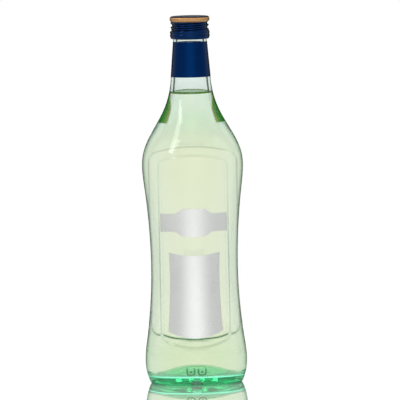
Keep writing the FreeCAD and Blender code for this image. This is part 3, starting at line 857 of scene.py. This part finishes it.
# %% Turn the glass and press it
INSIDE_ROW = 3.6 * MM
INSIDE = inside_spans()
UPRIGHT_INSIDE = walk(INSIDE[1:], even(SAMPLE))
INSIDE_ROWS = eased(walk(INSIDE, even(INSIDE_ROW)), UPRIGHT_INSIDE, EASE_FROM, EASE_TO, EASE_REACH)


def make_glass():
    bm = bmesh.new()
    turn(bm, SKIN_ROWS, COLUMNS)
    gather_columns(bm)
    press_panels(bm)
    press_notch(bm)
    groove_foot(bm)
    raise_marks(bm)
    turn(bm, INSIDE_ROWS, COLUMNS)
    return finished(bm, "bottle_glass", [GLASS])


glass = make_glass()
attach(glass, "root")
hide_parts("glass_bottle")

# %% [markdown]
# ## The drink
# The drink fills the glass and touches it everywhere. Two faces in the same place would flicker, and
# a gap would show as a silver film of air, so the drink reaches a little way into the wall instead.
# Its top creeps up where it wets the glass.

# %% Turn the drink
REACH = 0.15 * MM
CREEP, CREEP_WIDTH = 0.7 * MM, 1.6 * MM
FIRST_STEP, STEP_GROWTH = 0.12 * MM, 1.25  # rows of the top, from its edge inward
DRINK_COLUMNS = 180


def swollen(points, amount):
    """An outline moved outward by so much, square to itself."""
    moved = []
    for n, (radius, height) in enumerate(points):
        before, after = points[max(n - 1, 0)], points[min(n + 1, len(points) - 1)]
        run, rise = after[0] - before[0], after[1] - before[1]
        length = math.hypot(run, rise)
        moved.append((max(radius + amount * rise / length, 0.0) if n else 0.0,
                      height - amount * run / length))
    return moved


def make_drink():
    wall = swollen([p for p in INSIDE_ROWS if p[1] < FILL_Z - 1.5 * RING], REACH)
    (r0, z0), (r1, z1) = wall[-2:]
    slope = (r1 - r0) / (z1 - z0)
    wall.append((r1 + (FILL_Z - RING - z1) * slope, FILL_Z - RING))
    rim = r1 + (FILL_Z - z1) * slope
    top = []
    inward, stride = 0.0, FIRST_STEP
    while inward < rim:
        top.append((rim - inward, FILL_Z + CREEP * math.exp(-inward / CREEP_WIDTH)))
        inward += stride
        stride *= STEP_GROWTH
    top.append((0.0, FILL_Z))
    bm = bmesh.new()
    turn(bm, wall + top, DRINK_COLUMNS)
    return finished(bm, "drink", [DRINK])


drink = make_drink()
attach(drink, "root")
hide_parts("vermouth")

# %% [markdown]
# ## Coloured metal
# The cap is thin aluminium, printed flat with a clear blue lacquer and a copper-coloured one for its
# rim, and rolled into shape afterwards. The metal shines through the lacquer, so the finish is a
# tinted metal under a clear coat: bright where it faces a light, nearly black where it doesn't.
# The neck band is a printed foil of the same blue, and the labels are silver foil on paper.

# %% Lacquered metal and foil
BARE_METAL = (0.62, 0.64, 0.66)
CLOUD_SCALE, GRAIN_SCALE = 90.0, 700.0
RUB_SPREAD, GRAIN_BUMP, COAT_ROUGHNESS = 0.05, 0.03 * MM, 0.15
ROUND_CAP, ALONG_NECK = (0.3, 0.3, 4.0), (3.0, 3.0, 0.25)  # how a grain is drawn out


def surfaced(tree, output, height, strength, inputs):
    """Gives a material its surface, with a fine bump of that height."""
    bump = add(tree, "Bump", {"Height": height, "Strength": strength, "Distance": GRAIN_BUMP})
    surface = add(tree, "BsdfPrincipled", {**inputs, "Normal": bump.outputs["Normal"]})
    tree.links.new(surface.outputs["BSDF"], output["Surface"])


def lacquered(name, dark, bright, drawn, rough, metallic=1.0, coat=0.0, wear=0.0, grain=0.12, shine=0.5):
    """Coloured metal: its tone clouded, its grain drawn out, its raised edges a little rubbed."""
    material, tree, output, place = blank_material(name)
    rub = use(tree, RUB, {
        "Vector": place, "Scale": CLOUD_SCALE, "Low": rough - RUB_SPREAD, "High": rough + RUB_SPREAD})
    hairlines = use(tree, HAIRLINES, {"Vector": place, "Stretch": drawn, "Scale": GRAIN_SCALE})
    rubbed = times(tree, use(tree, EDGE_WEAR, {"Vector": place})["Worn"], wear)
    surfaced(tree, output, hairlines["Height"], grain, {
        "Base Color": blend(tree, rubbed, blend(tree, rub["Clouds"], dark, bright), BARE_METAL),
        "Metallic": metallic, "Roughness": rub["Roughness"],
        "Coat Weight": coat, "Coat Roughness": COAT_ROUGHNESS, "Specular IOR Level": shine})
    return material


CAP_BLUE = lacquered("cap_blue", (0.0006, 0.017, 0.080), (0.001, 0.029, 0.122), ROUND_CAP,
                     rough=0.15, coat=0.12, wear=0.25)
CAP_NAVY = lacquered("cap_navy", (0.001, 0.005, 0.030), (0.002, 0.009, 0.045), ROUND_CAP,
                     rough=0.45, metallic=0.0, shine=0.02)
CAP_COPPER = lacquered("cap_copper", (0.62, 0.33, 0.13), (0.78, 0.45, 0.20), ROUND_CAP,
                       rough=0.24, coat=0.10, wear=0.2)
BAND_FOIL = lacquered("band_foil", (0.0006, 0.020, 0.100), (0.0008, 0.030, 0.136), ALONG_NECK,
                      rough=0.28, coat=0.02, grain=0.05)
LABEL_SILVER = lacquered("label_silver", (0.92, 0.95, 0.92), (0.95, 0.97, 0.94), ALONG_NECK,
                         rough=0.30, metallic=0.96, grain=0.001)


# %% Paper, for the backs and cut edges of the labels
PAPER_PALE, PAPER_DARK, PAPER_ROUGHNESS = (0.78, 0.79, 0.76), (0.68, 0.69, 0.65), 0.75
FIBRE_STRETCH, FIBRE_SCALE, FIBRE_BUMP = (1.0, 1.0, 2.5), 1500.0, 0.3


def make_paper():
    material, tree, output, place = blank_material("label_paper")
    fibres = use(tree, HAIRLINES, {"Vector": place, "Stretch": FIBRE_STRETCH, "Scale": FIBRE_SCALE})
    tone = blend(tree, fibres["Lines"], PAPER_PALE, PAPER_DARK)
    surfaced(tree, output, fibres["Height"], FIBRE_BUMP, {"Base Color": tone, "Roughness": PAPER_ROUGHNESS})
    return material


PAPER_BACK = make_paper()
print("finishes:", [m.name for m in (CAP_BLUE, CAP_NAVY, CAP_COPPER, BAND_FOIL, LABEL_SILVER, PAPER_BACK)])

# %% [markdown]
# ## The screw cap
# A roll-on cap starts as a plain drawn cup. Rollers then press its skirt into the thread of the glass
# finish and tuck its lower edge under a ring of glass, which leaves soft grooves that climb round the
# cap. The mesh is made the same way: the cup is turned first, and its vertices are pressed in along
# the helix. The rim's knurls are pressed too, each over four columns.

# %% Sizes of the cap
CAP_HEIGHT = 18.3 * MM
CAP_TOP_PLATE = 0.7 * MM
CAP_CLEARANCE = 0.3 * MM
CAP_WALL = 1.6 * MM
RIM_PROUD = 0.65 * MM
RIM_HEIGHT = 4.1 * MM
RIM_CREST = 1.9 * MM
RIM_LOWER_ROUND = 1.3 * MM
RIM_GROOVE = 0.4 * MM
RIM_TUCK = -1.25  # radians
KNURLS = 90
KNURL_DEPTH = 0.2 * MM
KNURL_HEIGHT = 2.2 * MM
KNURL_MIDDLE = 1.9 * MM
BEAD_PROUD = 0.62 * MM
BEAD_ROUND = 2.4 * MM
BEAD_LOW = 2.9 * MM
BEAD_PITCH = 2.5 * MM
EDGE_WALL = 0.4 * MM
THREAD_PITCH = 3.4 * MM
THREAD_START = 7.6 * MM
THREAD_DEPTH = 1.15 * MM
CAP_TOP_Z = MOUTH_Z + CAP_TOP_PLATE
CAP_BOTTOM_Z = CAP_TOP_Z - CAP_HEIGHT
CAP_INNER_R = FINISH_R + CAP_CLEARANCE
SKIRT_R = CAP_INNER_R + CAP_WALL
RIM_R = SKIRT_R + RIM_PROUD
RIM_LOW_Z = CAP_TOP_Z - RIM_HEIGHT
THREAD_RISE = 5.95 * MM
HIDDEN_R = (CAP_INNER_R + SKIRT_R) / 2  # nothing inside this can be seen
print("cap from", round(CAP_BOTTOM_Z / MM, 2), "to", round(CAP_TOP_Z / MM, 2), "mm")

# %% The cup's outline
LINING_GAP = 0.1 * MM  # between the lip and the cap's underside
CAP_COLUMNS, CAP_ROW, HIDDEN_ROW = 360, 0.21 * MM, 1.5 * MM


def cap_outline():
    """From the middle of the underside, down inside the skirt, up its outside and over the top."""
    crest_z = CAP_TOP_Z - RIM_CREST
    rim = arc((RIM_R - RIM_LOWER_ROUND, RIM_LOW_Z + RIM_LOWER_ROUND), RIM_LOWER_ROUND, RIM_TUCK, 0)
    groove = (SKIRT_R - RIM_GROOVE, RIM_LOW_Z - RIM_GROOVE)
    skirt_top = (SKIRT_R, groove[1] - RIM_GROOVE)
    bead = SKIRT_R + BEAD_PROUD - BEAD_ROUND
    low_bead, high_bead = (bead, CAP_BOTTOM_Z + BEAD_LOW), (bead, CAP_BOTTOM_Z + BEAD_LOW + BEAD_PITCH)
    run_out = math.acos((BEAD_ROUND - BEAD_PROUD) / BEAD_ROUND)
    meet = math.asin(BEAD_PITCH / 2 / BEAD_ROUND)
    lower, upper = arc(low_bead, BEAD_ROUND, -meet, meet), arc(high_bead, BEAD_ROUND, -meet, run_out)
    edge = (CAP_INNER_R + EDGE_WALL, CAP_BOTTOM_Z)
    out, up = lower["point"](0.0)[0] - edge[0], lower["point"](0.0)[1] - edge[1]
    edge_round = (out**2 + up**2) / (2 * up)
    lining_z = MOUTH_Z + LINING_GAP
    hidden = runs((0.0, lining_z), (CAP_INNER_R, lining_z), (CAP_INNER_R, CAP_BOTTOM_Z))
    shown = [
        straight((CAP_INNER_R, CAP_BOTTOM_Z), edge),
        arc((edge[0], edge[1] + edge_round), edge_round, -math.pi / 2, math.atan2(up - edge_round, out)),
        lower,
        upper,
        *runs(upper["point"](1.0), skirt_top, groove, rim["point"](0.0)),
        rim,
        straight(rim["point"](1.0), (RIM_R, crest_z)),
        arc((RIM_R - RIM_CREST, crest_z), RIM_CREST, 0, math.pi / 2),
    ]
    top = runs((RIM_R - RIM_CREST, CAP_TOP_Z), (0.0, CAP_TOP_Z))
    chains = ((hidden, HIDDEN_ROW), (shown, CAP_ROW), (top, HIDDEN_ROW))
    points = [point for spans, row in chains for point in walk(spans, even(row))[:-1]]
    return points + [(0.0, CAP_TOP_Z)]


# %% Roll the thread and press the knurls
THREAD_CORE, THREAD_REACH = 0.25 * MM, 1.6 * MM
THREAD_FADE = 0.35  # radians
THREAD_RUN = math.tau * THREAD_RISE / THREAD_PITCH
COPPER_FROM, COPPER_TO = RIM_LOW_Z - 0.2 * MM, CAP_TOP_Z - 0.75 * MM


def thread_share(x, y, z):
    """How deep the rolled thread is at a point of the skirt, from 0 to 1."""
    deepest = 0.0
    around = math.atan2(y, x) % math.tau - math.pi
    for lap in range(-1, 3):
        along = around + lap * math.tau
        middle = CAP_BOTTOM_Z + THREAD_START + THREAD_PITCH * along / math.tau
        ends = smooth(along, -THREAD_FADE, THREAD_FADE / 2)
        ends *= 1 - smooth(along, THREAD_RUN - THREAD_FADE / 2, THREAD_RUN + THREAD_FADE)
        deepest = max(deepest, ends * (1 - smooth(abs(z - middle), THREAD_CORE, THREAD_REACH)))
    return deepest


def roll_cap(bm):
    """Presses the thread into the skirt and the knurls into the upper part of the rim."""
    low = RIM_R - RIM_CREST
    for vert, x, y, z, radius in places(bm):
        if radius < HIDDEN_R:
            continue
        sunk = 0.0
        if z < RIM_LOW_Z - RIM_GROOVE:
            sunk = THREAD_DEPTH * thread_share(x, y, z)
        elif abs(z - (CAP_TOP_Z - KNURL_MIDDLE)) < KNURL_HEIGHT / 2 and radius > low:
            place = abs((math.atan2(y, x) * KNURLS / math.tau) % 1.0 - 0.5)
            columns_away = abs(0.5 - place) * CAP_COLUMNS / KNURLS
            sunk = KNURL_DEPTH * max(1 - columns_away, 0.0)
        set_radius(vert, radius, radius - sunk)


def paint_cap(bm):
    """Copper on the rim, navy on the top, blue everywhere else."""
    for face in bm.faces:
        middle = face.calc_center_median()
        if middle.z > COPPER_TO:
            face.material_index = 1
        elif middle.z > COPPER_FROM and math.hypot(middle.x, middle.y) > HIDDEN_R:
            face.material_index = 2


def make_cap():
    bm = bmesh.new()
    turn(bm, cap_outline(), CAP_COLUMNS)
    roll_cap(bm)
    paint_cap(bm)
    return finished(bm, "rolled_cap", [CAP_BLUE, CAP_NAVY, CAP_COPPER])


cap = make_cap()
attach(cap, "root")
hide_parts("screw_cap")

# %% [markdown]
# ## The neck band
# The band is a strip of foil rolled round the neck and glued where its ends overlap, at the back. It
# is thin, so it can't be perfectly even: it follows the glass, and stands a hair proud over its seam.

# %% Wrap the band
PAPER = 0.15 * MM
BAND_UNDER_CAP = 2.1 * MM
BAND_ABOVE_FOOT = 3.0 * MM
BAND_TOP_Z = CAP_BOTTOM_Z - BAND_UNDER_CAP
BAND_BOTTOM_Z = NECK_FOOT_Z + BAND_ABOVE_FOOT
GLUE = 0.02 * MM  # between the glass and whatever is stuck on it
BAND_COLUMNS, BAND_ROW = 216, 1.2 * MM
SEAM_HALF_ANGLE, SEAM_PROUD, SEAM_EDGE = 0.16, 0.10 * MM, 0.02
# Faint wrinkles: two waves round the neck, of which one climbs by so many radians in a metre.
WRINKLE, WAVE, WAVE_CLIMB, OTHER_WAVE, OTHER_START = 0.0125 * MM, 3, 4000, 7, 1.3


def make_band():
    def skin(height, lift):
        outward, upward = skin_normal(height)
        return skin_radius(height) + lift / outward, height
    rows = max(round((BAND_TOP_Z - BAND_BOTTOM_Z) / BAND_ROW), 2)
    heights = [BAND_BOTTOM_Z + (BAND_TOP_Z - BAND_BOTTOM_Z) * n / rows for n in range(rows + 1)]
    outer, inner = [skin(h, PAPER) for h in heights], [skin(h, GLUE) for h in heights]
    bm = bmesh.new()
    turn(bm, outer + inner[::-1] + outer[:1], BAND_COLUMNS)
    middle = (BAND_TOP_Z + BAND_BOTTOM_Z) / 2
    for vert, x, y, z, radius in places(bm):
        if radius < skin_radius(z) + (PAPER + GLUE) / 2:
            continue
        behind, around = abs(math.atan2(x, y)), math.atan2(y, x)
        proud = SEAM_PROUD * within(behind - SEAM_HALF_ANGLE, 2 * SEAM_EDGE)
        wave = math.sin(WAVE * around + WAVE_CLIMB * (z - middle))
        proud += WRINKLE * wave * math.sin(OTHER_WAVE * around + OTHER_START)
        set_radius(vert, radius, radius + proud)
    return finished(bm, "foil_band", [BAND_FOIL])


band = make_band()
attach(band, "root")
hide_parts("neck_band")

# %% [markdown]
# ## The labels
# A label is punched flat from foil-faced paper and rolled onto the panel. Its mesh is cut flat too:
# the outline becomes one face, the face is sliced into a grid, and the grid is laid on the glass and
# given the paper's thickness. A grid bends evenly, which an outline filled with long triangles would
# not, and a shiny foil shows every uneven bend.

# %% Flat outlines, as (x, z) points seen from the front
PLAQUE_MARGIN = 1.5 * MM
PLAQUE_GAP = 15.3 * MM
PLAQUE_HALF_HEIGHT = 7.3 * MM
SWELL_HALF_HEIGHT = 11.4 * MM
SWELL_FLAT = 6.5 * MM
SWELL_HALF_WIDTH = 17.0 * MM
MAIN_ABOVE_PANEL = 7.4 * MM
MAIN_HEIGHT = 66.1 * MM
MAIN_TOP_HALF_WIDTH = 20.3 * MM
MAIN_WAIST_HALF_WIDTH = 19.9 * MM
MAIN_BOTTOM_HALF_WIDTH = 21.9 * MM
MAIN_TOP_SAG = 2.7 * MM
MAIN_BOTTOM_SAG = 5.6 * MM
MAIN_BOTTOM_Z = PANEL_BOTTOM_Z + MAIN_ABOVE_PANEL
MAIN_TOP_Z = MAIN_BOTTOM_Z + MAIN_HEIGHT
PLAQUE_MIDDLE_Z = MAIN_TOP_Z + PLAQUE_GAP + SWELL_HALF_HEIGHT
CURVE_STEPS = 24


def bezier(p0, p1, p2, p3):
    """Points along a curve with two handles, without its last point."""
    points = []
    for n in range(CURVE_STEPS):
        t = n / CURVE_STEPS
        weights = ((1 - t) ** 3, 3 * t * (1 - t) ** 2, 3 * t * t * (1 - t), t**3)
        points.append(tuple(sum(w * p[k] for w, p in zip(weights, (p0, p1, p2, p3))) for k in (0, 1)))
    return points


def bowed(start, middle, end):
    """Points along the circle's arc through three points, without its last point."""
    (ax, ay), (bx, by), (cx, cy) = start, middle, end
    d = 2 * (ax * (by - cy) + bx * (cy - ay) + cx * (ay - by))
    a2, b2, c2 = ax**2 + ay**2, bx**2 + by**2, cx**2 + cy**2
    ux = (a2 * (by - cy) + b2 * (cy - ay) + c2 * (ay - by)) / d
    uy = (a2 * (cx - bx) + b2 * (ax - cx) + c2 * (bx - ax)) / d
    radius = math.dist(start, (ux, uy))
    first, last = math.atan2(ay - uy, ax - ux), math.atan2(cy - uy, cx - ux)
    turn_by = (last - first + math.pi) % math.tau - math.pi
    angles = [first + turn_by * n / CURVE_STEPS for n in range(CURVE_STEPS)]
    return [(ux + radius * math.cos(a), uy + radius * math.sin(a)) for a in angles]


def plaque_outline():
    """A bar whose middle is taller, with an S-bend on each side and level ends."""
    half_width = PANEL_HALF_WIDTH - PLAQUE_MARGIN
    bend = (SWELL_HALF_WIDTH + SWELL_FLAT) / 2
    quarter = [(half_width, PLAQUE_HALF_HEIGHT)]
    quarter += bezier((SWELL_HALF_WIDTH, PLAQUE_HALF_HEIGHT), (bend, PLAQUE_HALF_HEIGHT),
                      (bend, SWELL_HALF_HEIGHT), (SWELL_FLAT, SWELL_HALF_HEIGHT))
    quarter.append((SWELL_FLAT, SWELL_HALF_HEIGHT))
    upper = quarter + [(-x, z) for x, z in quarter[::-1]]
    whole = upper + [(-x, -z) for x, z in upper]
    return [(x, PLAQUE_MIDDLE_Z + z) for x, z in whole]


def main_outline():
    """Waisted sides, and a top and bottom edge that both sag at the middle."""
    top_z, low_z = MAIN_TOP_Z + MAIN_TOP_SAG, MAIN_BOTTOM_Z + MAIN_BOTTOM_SAG
    waist_z = (2 * top_z + low_z) / 3
    widths = (MAIN_TOP_HALF_WIDTH, MAIN_WAIST_HALF_WIDTH, MAIN_BOTTOM_HALF_WIDTH)
    right = list(zip(widths, (top_z, waist_z, low_z)))
    left = [(-x, z) for x, z in right]
    return (bowed(left[0], (0.0, MAIN_TOP_Z), right[0]) + bowed(*right)
            + bowed(right[2], (0.0, MAIN_BOTTOM_Z), left[2]) + bowed(*left[::-1]))


# %% Cut a label flat, slice it into a grid and lay it on the panel
GRID = 1.1 * MM


def on_panel(x, height, lift):
    """The point of the panel's floor, or of its soft side, straight behind a flat point."""
    radius = skin_radius(height)
    outward, upward = skin_normal(height)
    depth = panel_share(x, radius, height) * PANEL_DEPTH - lift
    return x, -math.sqrt((radius - depth / outward) ** 2 - x * x), height


def make_label(name, outline):
    bm = bmesh.new()
    bm.faces.new([bm.verts.new((x, 0, z)) for x, z in outline])
    for axis, normal in ((0, (1, 0, 0)), (1, (0, 0, 1))):
        values = [point[axis] for point in outline]
        low, high = min(values), max(values)
        cuts = round((high - low) / GRID)
        for n in range(1, cuts):
            place = low + (high - low) * n / cuts
            bmesh.ops.bisect_plane(bm, geom=bm.verts[:] + bm.edges[:] + bm.faces[:], dist=MERGE,
                                   plane_co=[place * v for v in normal], plane_no=normal)
    front = set(bm.faces)
    back = set(bmesh.ops.duplicate(bm, geom=bm.verts[:] + bm.edges[:] + bm.faces[:])["geom"])
    for vert in bm.verts:
        vert.co = on_panel(vert.co.x, vert.co.z, GLUE if vert in back else PAPER)
    bmesh.ops.bridge_loops(bm, edges=[edge for edge in bm.edges if edge.is_boundary])
    for face in bm.faces:
        face.material_index = 0 if face in front else 1
    return finished(bm, name, [LABEL_SILVER, PAPER_BACK])


plaque = make_label("plaque_label", plaque_outline())
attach(plaque, "root")
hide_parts("upper_label")

main_label = make_label("main_label", main_outline())
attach(main_label, "root")
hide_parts("lower_label")

# %% [markdown]
# ## A small studio
# The bottle stands on a glossy white table before a lit backdrop. Clear glass only shows what is round
# it, so the studio's world holds the things that a photographer would stand there: a dark card on each
# side, which gives the glass its dark outline, and a glow on the camera's side. Cards made of meshes
# would need hiding from one another. In the world, each kind of ray can be answered on its own: plain
# white for the camera, the backdrop and the cards through glass, and a softer room in a shine.

# %% The table
FLOOR_SIZE = 1.2
FLOOR_WHITE, FLOOR_SHINE_LOW, FLOOR_SHINE_HIGH = (0.92, 0.93, 0.92, 1), 0.03, 0.06
# Its own glow, for the eye and for light through the glass, and how far from the bottle it changes.
LIFT_NEAR, LIFT_FAR, LIFT_UNDER, LIFT_THROUGH = 0.10, 0.35, 1.00, 0.10
LIFT_REACH, UNDER_REACH = (0.12, 0.45), (0.036, 0.060)
WHITE = (1, 1, 1, 1)


def stage_floor():
    bpy.ops.mesh.primitive_plane_add(size=FLOOR_SIZE)
    floor = bpy.context.object
    floor.name = "floor"
    material, tree, output, place = blank_material("floor")
    rub = use(tree, RUB, {"Vector": place, "Scale": 3.0, "Low": FLOOR_SHINE_LOW, "High": FLOOR_SHINE_HIGH})
    away = add(tree, "VectorMath", {0: place}, operation="LENGTH").outputs["Value"]
    path = add(tree, "LightPath").outputs
    seen = times(tree, path["Is Camera Ray"], step(tree, away, *LIFT_REACH, LIFT_NEAR, LIFT_FAR))
    through = times(
        tree, path["Is Transmission Ray"], step(tree, away, *UNDER_REACH, LIFT_UNDER, LIFT_THROUGH))
    surface = add(tree, "BsdfPrincipled", {
        "Base Color": FLOOR_WHITE, "Roughness": rub["Roughness"], "IOR": 1.45, "Coat Weight": 1.0,
        "Emission Color": WHITE, "Emission Strength": maths(tree, "ADD", seen, through)})
    tree.links.new(surface.outputs["BSDF"], output["Surface"])
    floor.data.materials.append(material)
    print("table:", FLOOR_SIZE, "m square")


stage_floor()

# %% The world. Places are degrees round from straight behind the bottle, and degrees up
BACKDROP, AMBIENT = 0.86, 0.75
CARD_DARK, CARD_INNER, CARD_OUTER = 0.04, (37.0, 43.0), (58.0, 68.0)
CEILING, CEILING_DIM = (30.0, 60.0), 0.4
STRIP_LIT, STRIP_DARK, STRIP_INNER, STRIP_OUTER = 1.08, 0.08, (5.0, 10.0), (30.0, 45.0)
STRIP_GREEN = (0.25, 1.0, 0.35)
SHINE_DIM, SHINE_FRONT, SHINE_FROM, SHINE_SIDE = 0.53, 1.0, 132.0, (30.0, 60.0)
SHINE_RISE, SHINE_TOP = (0.0, 1.0), (25.0, 45.0)


def make_world():
    world = bpy.data.worlds.new("studio")
    bpy.context.scene.world = world
    world.use_nodes = True
    tree = world.node_tree
    tree.nodes.clear()

    def background(strength, colour=WHITE):
        return add(tree, "Background", {"Color": colour, "Strength": strength})

    way = add(tree, "SeparateXYZ", {"Vector": add(tree, "TexCoord").outputs["Generated"]}).outputs
    turned = maths(tree, "ABSOLUTE", maths(tree, "ARCTAN2", way["X"], way["Y"]))
    behind = times(tree, turned, 180 / math.pi)
    raised = times(tree, maths(tree, "ARCSINE", way["Z"]), 180 / math.pi)
    path = add(tree, "LightPath").outputs
    # Through the glass: a lit backdrop with a dark card on each side, and a dim ceiling.
    card = maths(tree, "MAXIMUM", step(tree, behind, *CARD_INNER, BACKDROP, CARD_DARK),
                 step(tree, behind, *CARD_OUTER, CARD_DARK, BACKDROP))
    through = background(times(tree, card, step(tree, raised, *CEILING, 1.0, CEILING_DIM)))
    # In a shine on the outside: the camera's side glows, a strip straight behind is lit for the table
    # to mirror, and a faint green lies beside the strip.
    front = step(tree, behind, SHINE_FROM, 180, SHINE_DIM, SHINE_FRONT)
    fade = between(tree, raised, SHINE_RISE, SHINE_TOP)
    strip = maths(tree, "MAXIMUM", step(tree, behind, *STRIP_INNER, STRIP_LIT, STRIP_DARK),
                  step(tree, behind, *STRIP_OUTER, STRIP_DARK, 0.0))
    sides = times(tree, front, step(tree, behind, *SHINE_SIDE))
    on_outside = maths(tree, "ADD", times(tree, strip, fade), sides)
    # In a shine inside the glass: the cards again.
    on_inside = maths(tree, "MAXIMUM", times(tree, card, fade), front)
    inside = step(tree, path["Transmission Depth"], 0.0, 1.0)
    outside = rest(tree, inside)
    glow = maths(tree, "ADD", times(tree, inside, on_inside), times(tree, outside, on_outside))
    green = times(tree, between(tree, behind, STRIP_INNER, STRIP_OUTER), outside)
    shine = background(glow, blend(tree, green, (1, 1, 1), STRIP_GREEN))
    shader = background(AMBIENT)
    for ray, answer in (("Is Glossy Ray", shine), ("Is Transmission Ray", through),
                        ("Is Camera Ray", background(1.0))):
        shader = add(tree, "MixShader", {0: path[ray], 1: shader.outputs[0], 2: answer.outputs[0]})
    tree.links.new(shader.outputs[0], add(tree, "OutputWorld").inputs["Surface"])
    print("world:", len(tree.nodes), "nodes")


make_world()

# %% The lamp, a tall soft box at the front left
LAMP_AZIMUTH, LAMP_ELEVATION = math.radians(-57), math.radians(44)  # from the front, positive to the right
LAMP_DISTANCE, LAMP_WIDTH, LAMP_HEIGHT, LAMP_POWER = 1.2, 0.22, 0.66, 1.35
centre = (cad_low + cad_high) / 2
light = bpy.data.lights.new("left_softbox", "AREA")
light.shape = "RECTANGLE"
light.size, light.size_y, light.energy = LAMP_WIDTH, LAMP_HEIGHT, LAMP_POWER
lamp = bpy.data.objects.new("left_softbox", light)
bpy.context.scene.collection.objects.link(lamp)
toward_lamp = Vector((math.sin(LAMP_AZIMUTH) * math.cos(LAMP_ELEVATION),
                      -math.cos(LAMP_AZIMUTH) * math.cos(LAMP_ELEVATION), math.sin(LAMP_ELEVATION)))
lamp.location = centre + toward_lamp * LAMP_DISTANCE
lamp.rotation_euler = toward_lamp.to_track_quat("Z", "Y").to_euler()
print("lamp at", [round(v, 2) for v in lamp.location], "m")

# %% The camera, far off with a long lens, so that the bottle's sides look upright
CAMERA_DISTANCE, LENS = 9.02, 1009.6
CAMERA_RISE, CAMERA_ROLL = math.radians(3.937), math.radians(1.153)
CAMERA_ASIDE, CAMERA_DOWN = 5.5 * MM, 0.76 * MM
CLIP_END, BOUNCES = 100, 24
camera = bpy.data.objects.new("camera", bpy.data.cameras.new("camera"))
bpy.context.scene.collection.objects.link(camera)
camera.data.lens = LENS
camera.data.clip_end = CLIP_END
back = Vector((0, -math.cos(CAMERA_RISE), math.sin(CAMERA_RISE)))
camera.rotation_mode = "QUATERNION"
camera.rotation_quaternion = back.to_track_quat("Z", "Y") @ Quaternion((0, 0, 1), -CAMERA_ROLL)
camera.location = centre + back * CAMERA_DISTANCE + Vector((CAMERA_ASIDE, 0, -CAMERA_DOWN))
bpy.context.scene.camera = camera
bpy.context.scene.view_settings.view_transform = "Standard"
if hasattr(bpy.context.scene, "cycles"):
    # Light crosses four walls of glass and may bounce about inside each of them.
    bpy.context.scene.cycles.max_bounces = BOUNCES
    bpy.context.scene.cycles.transmission_bounces = BOUNCES
print("camera at", [round(v, 2) for v in camera.location], "m")
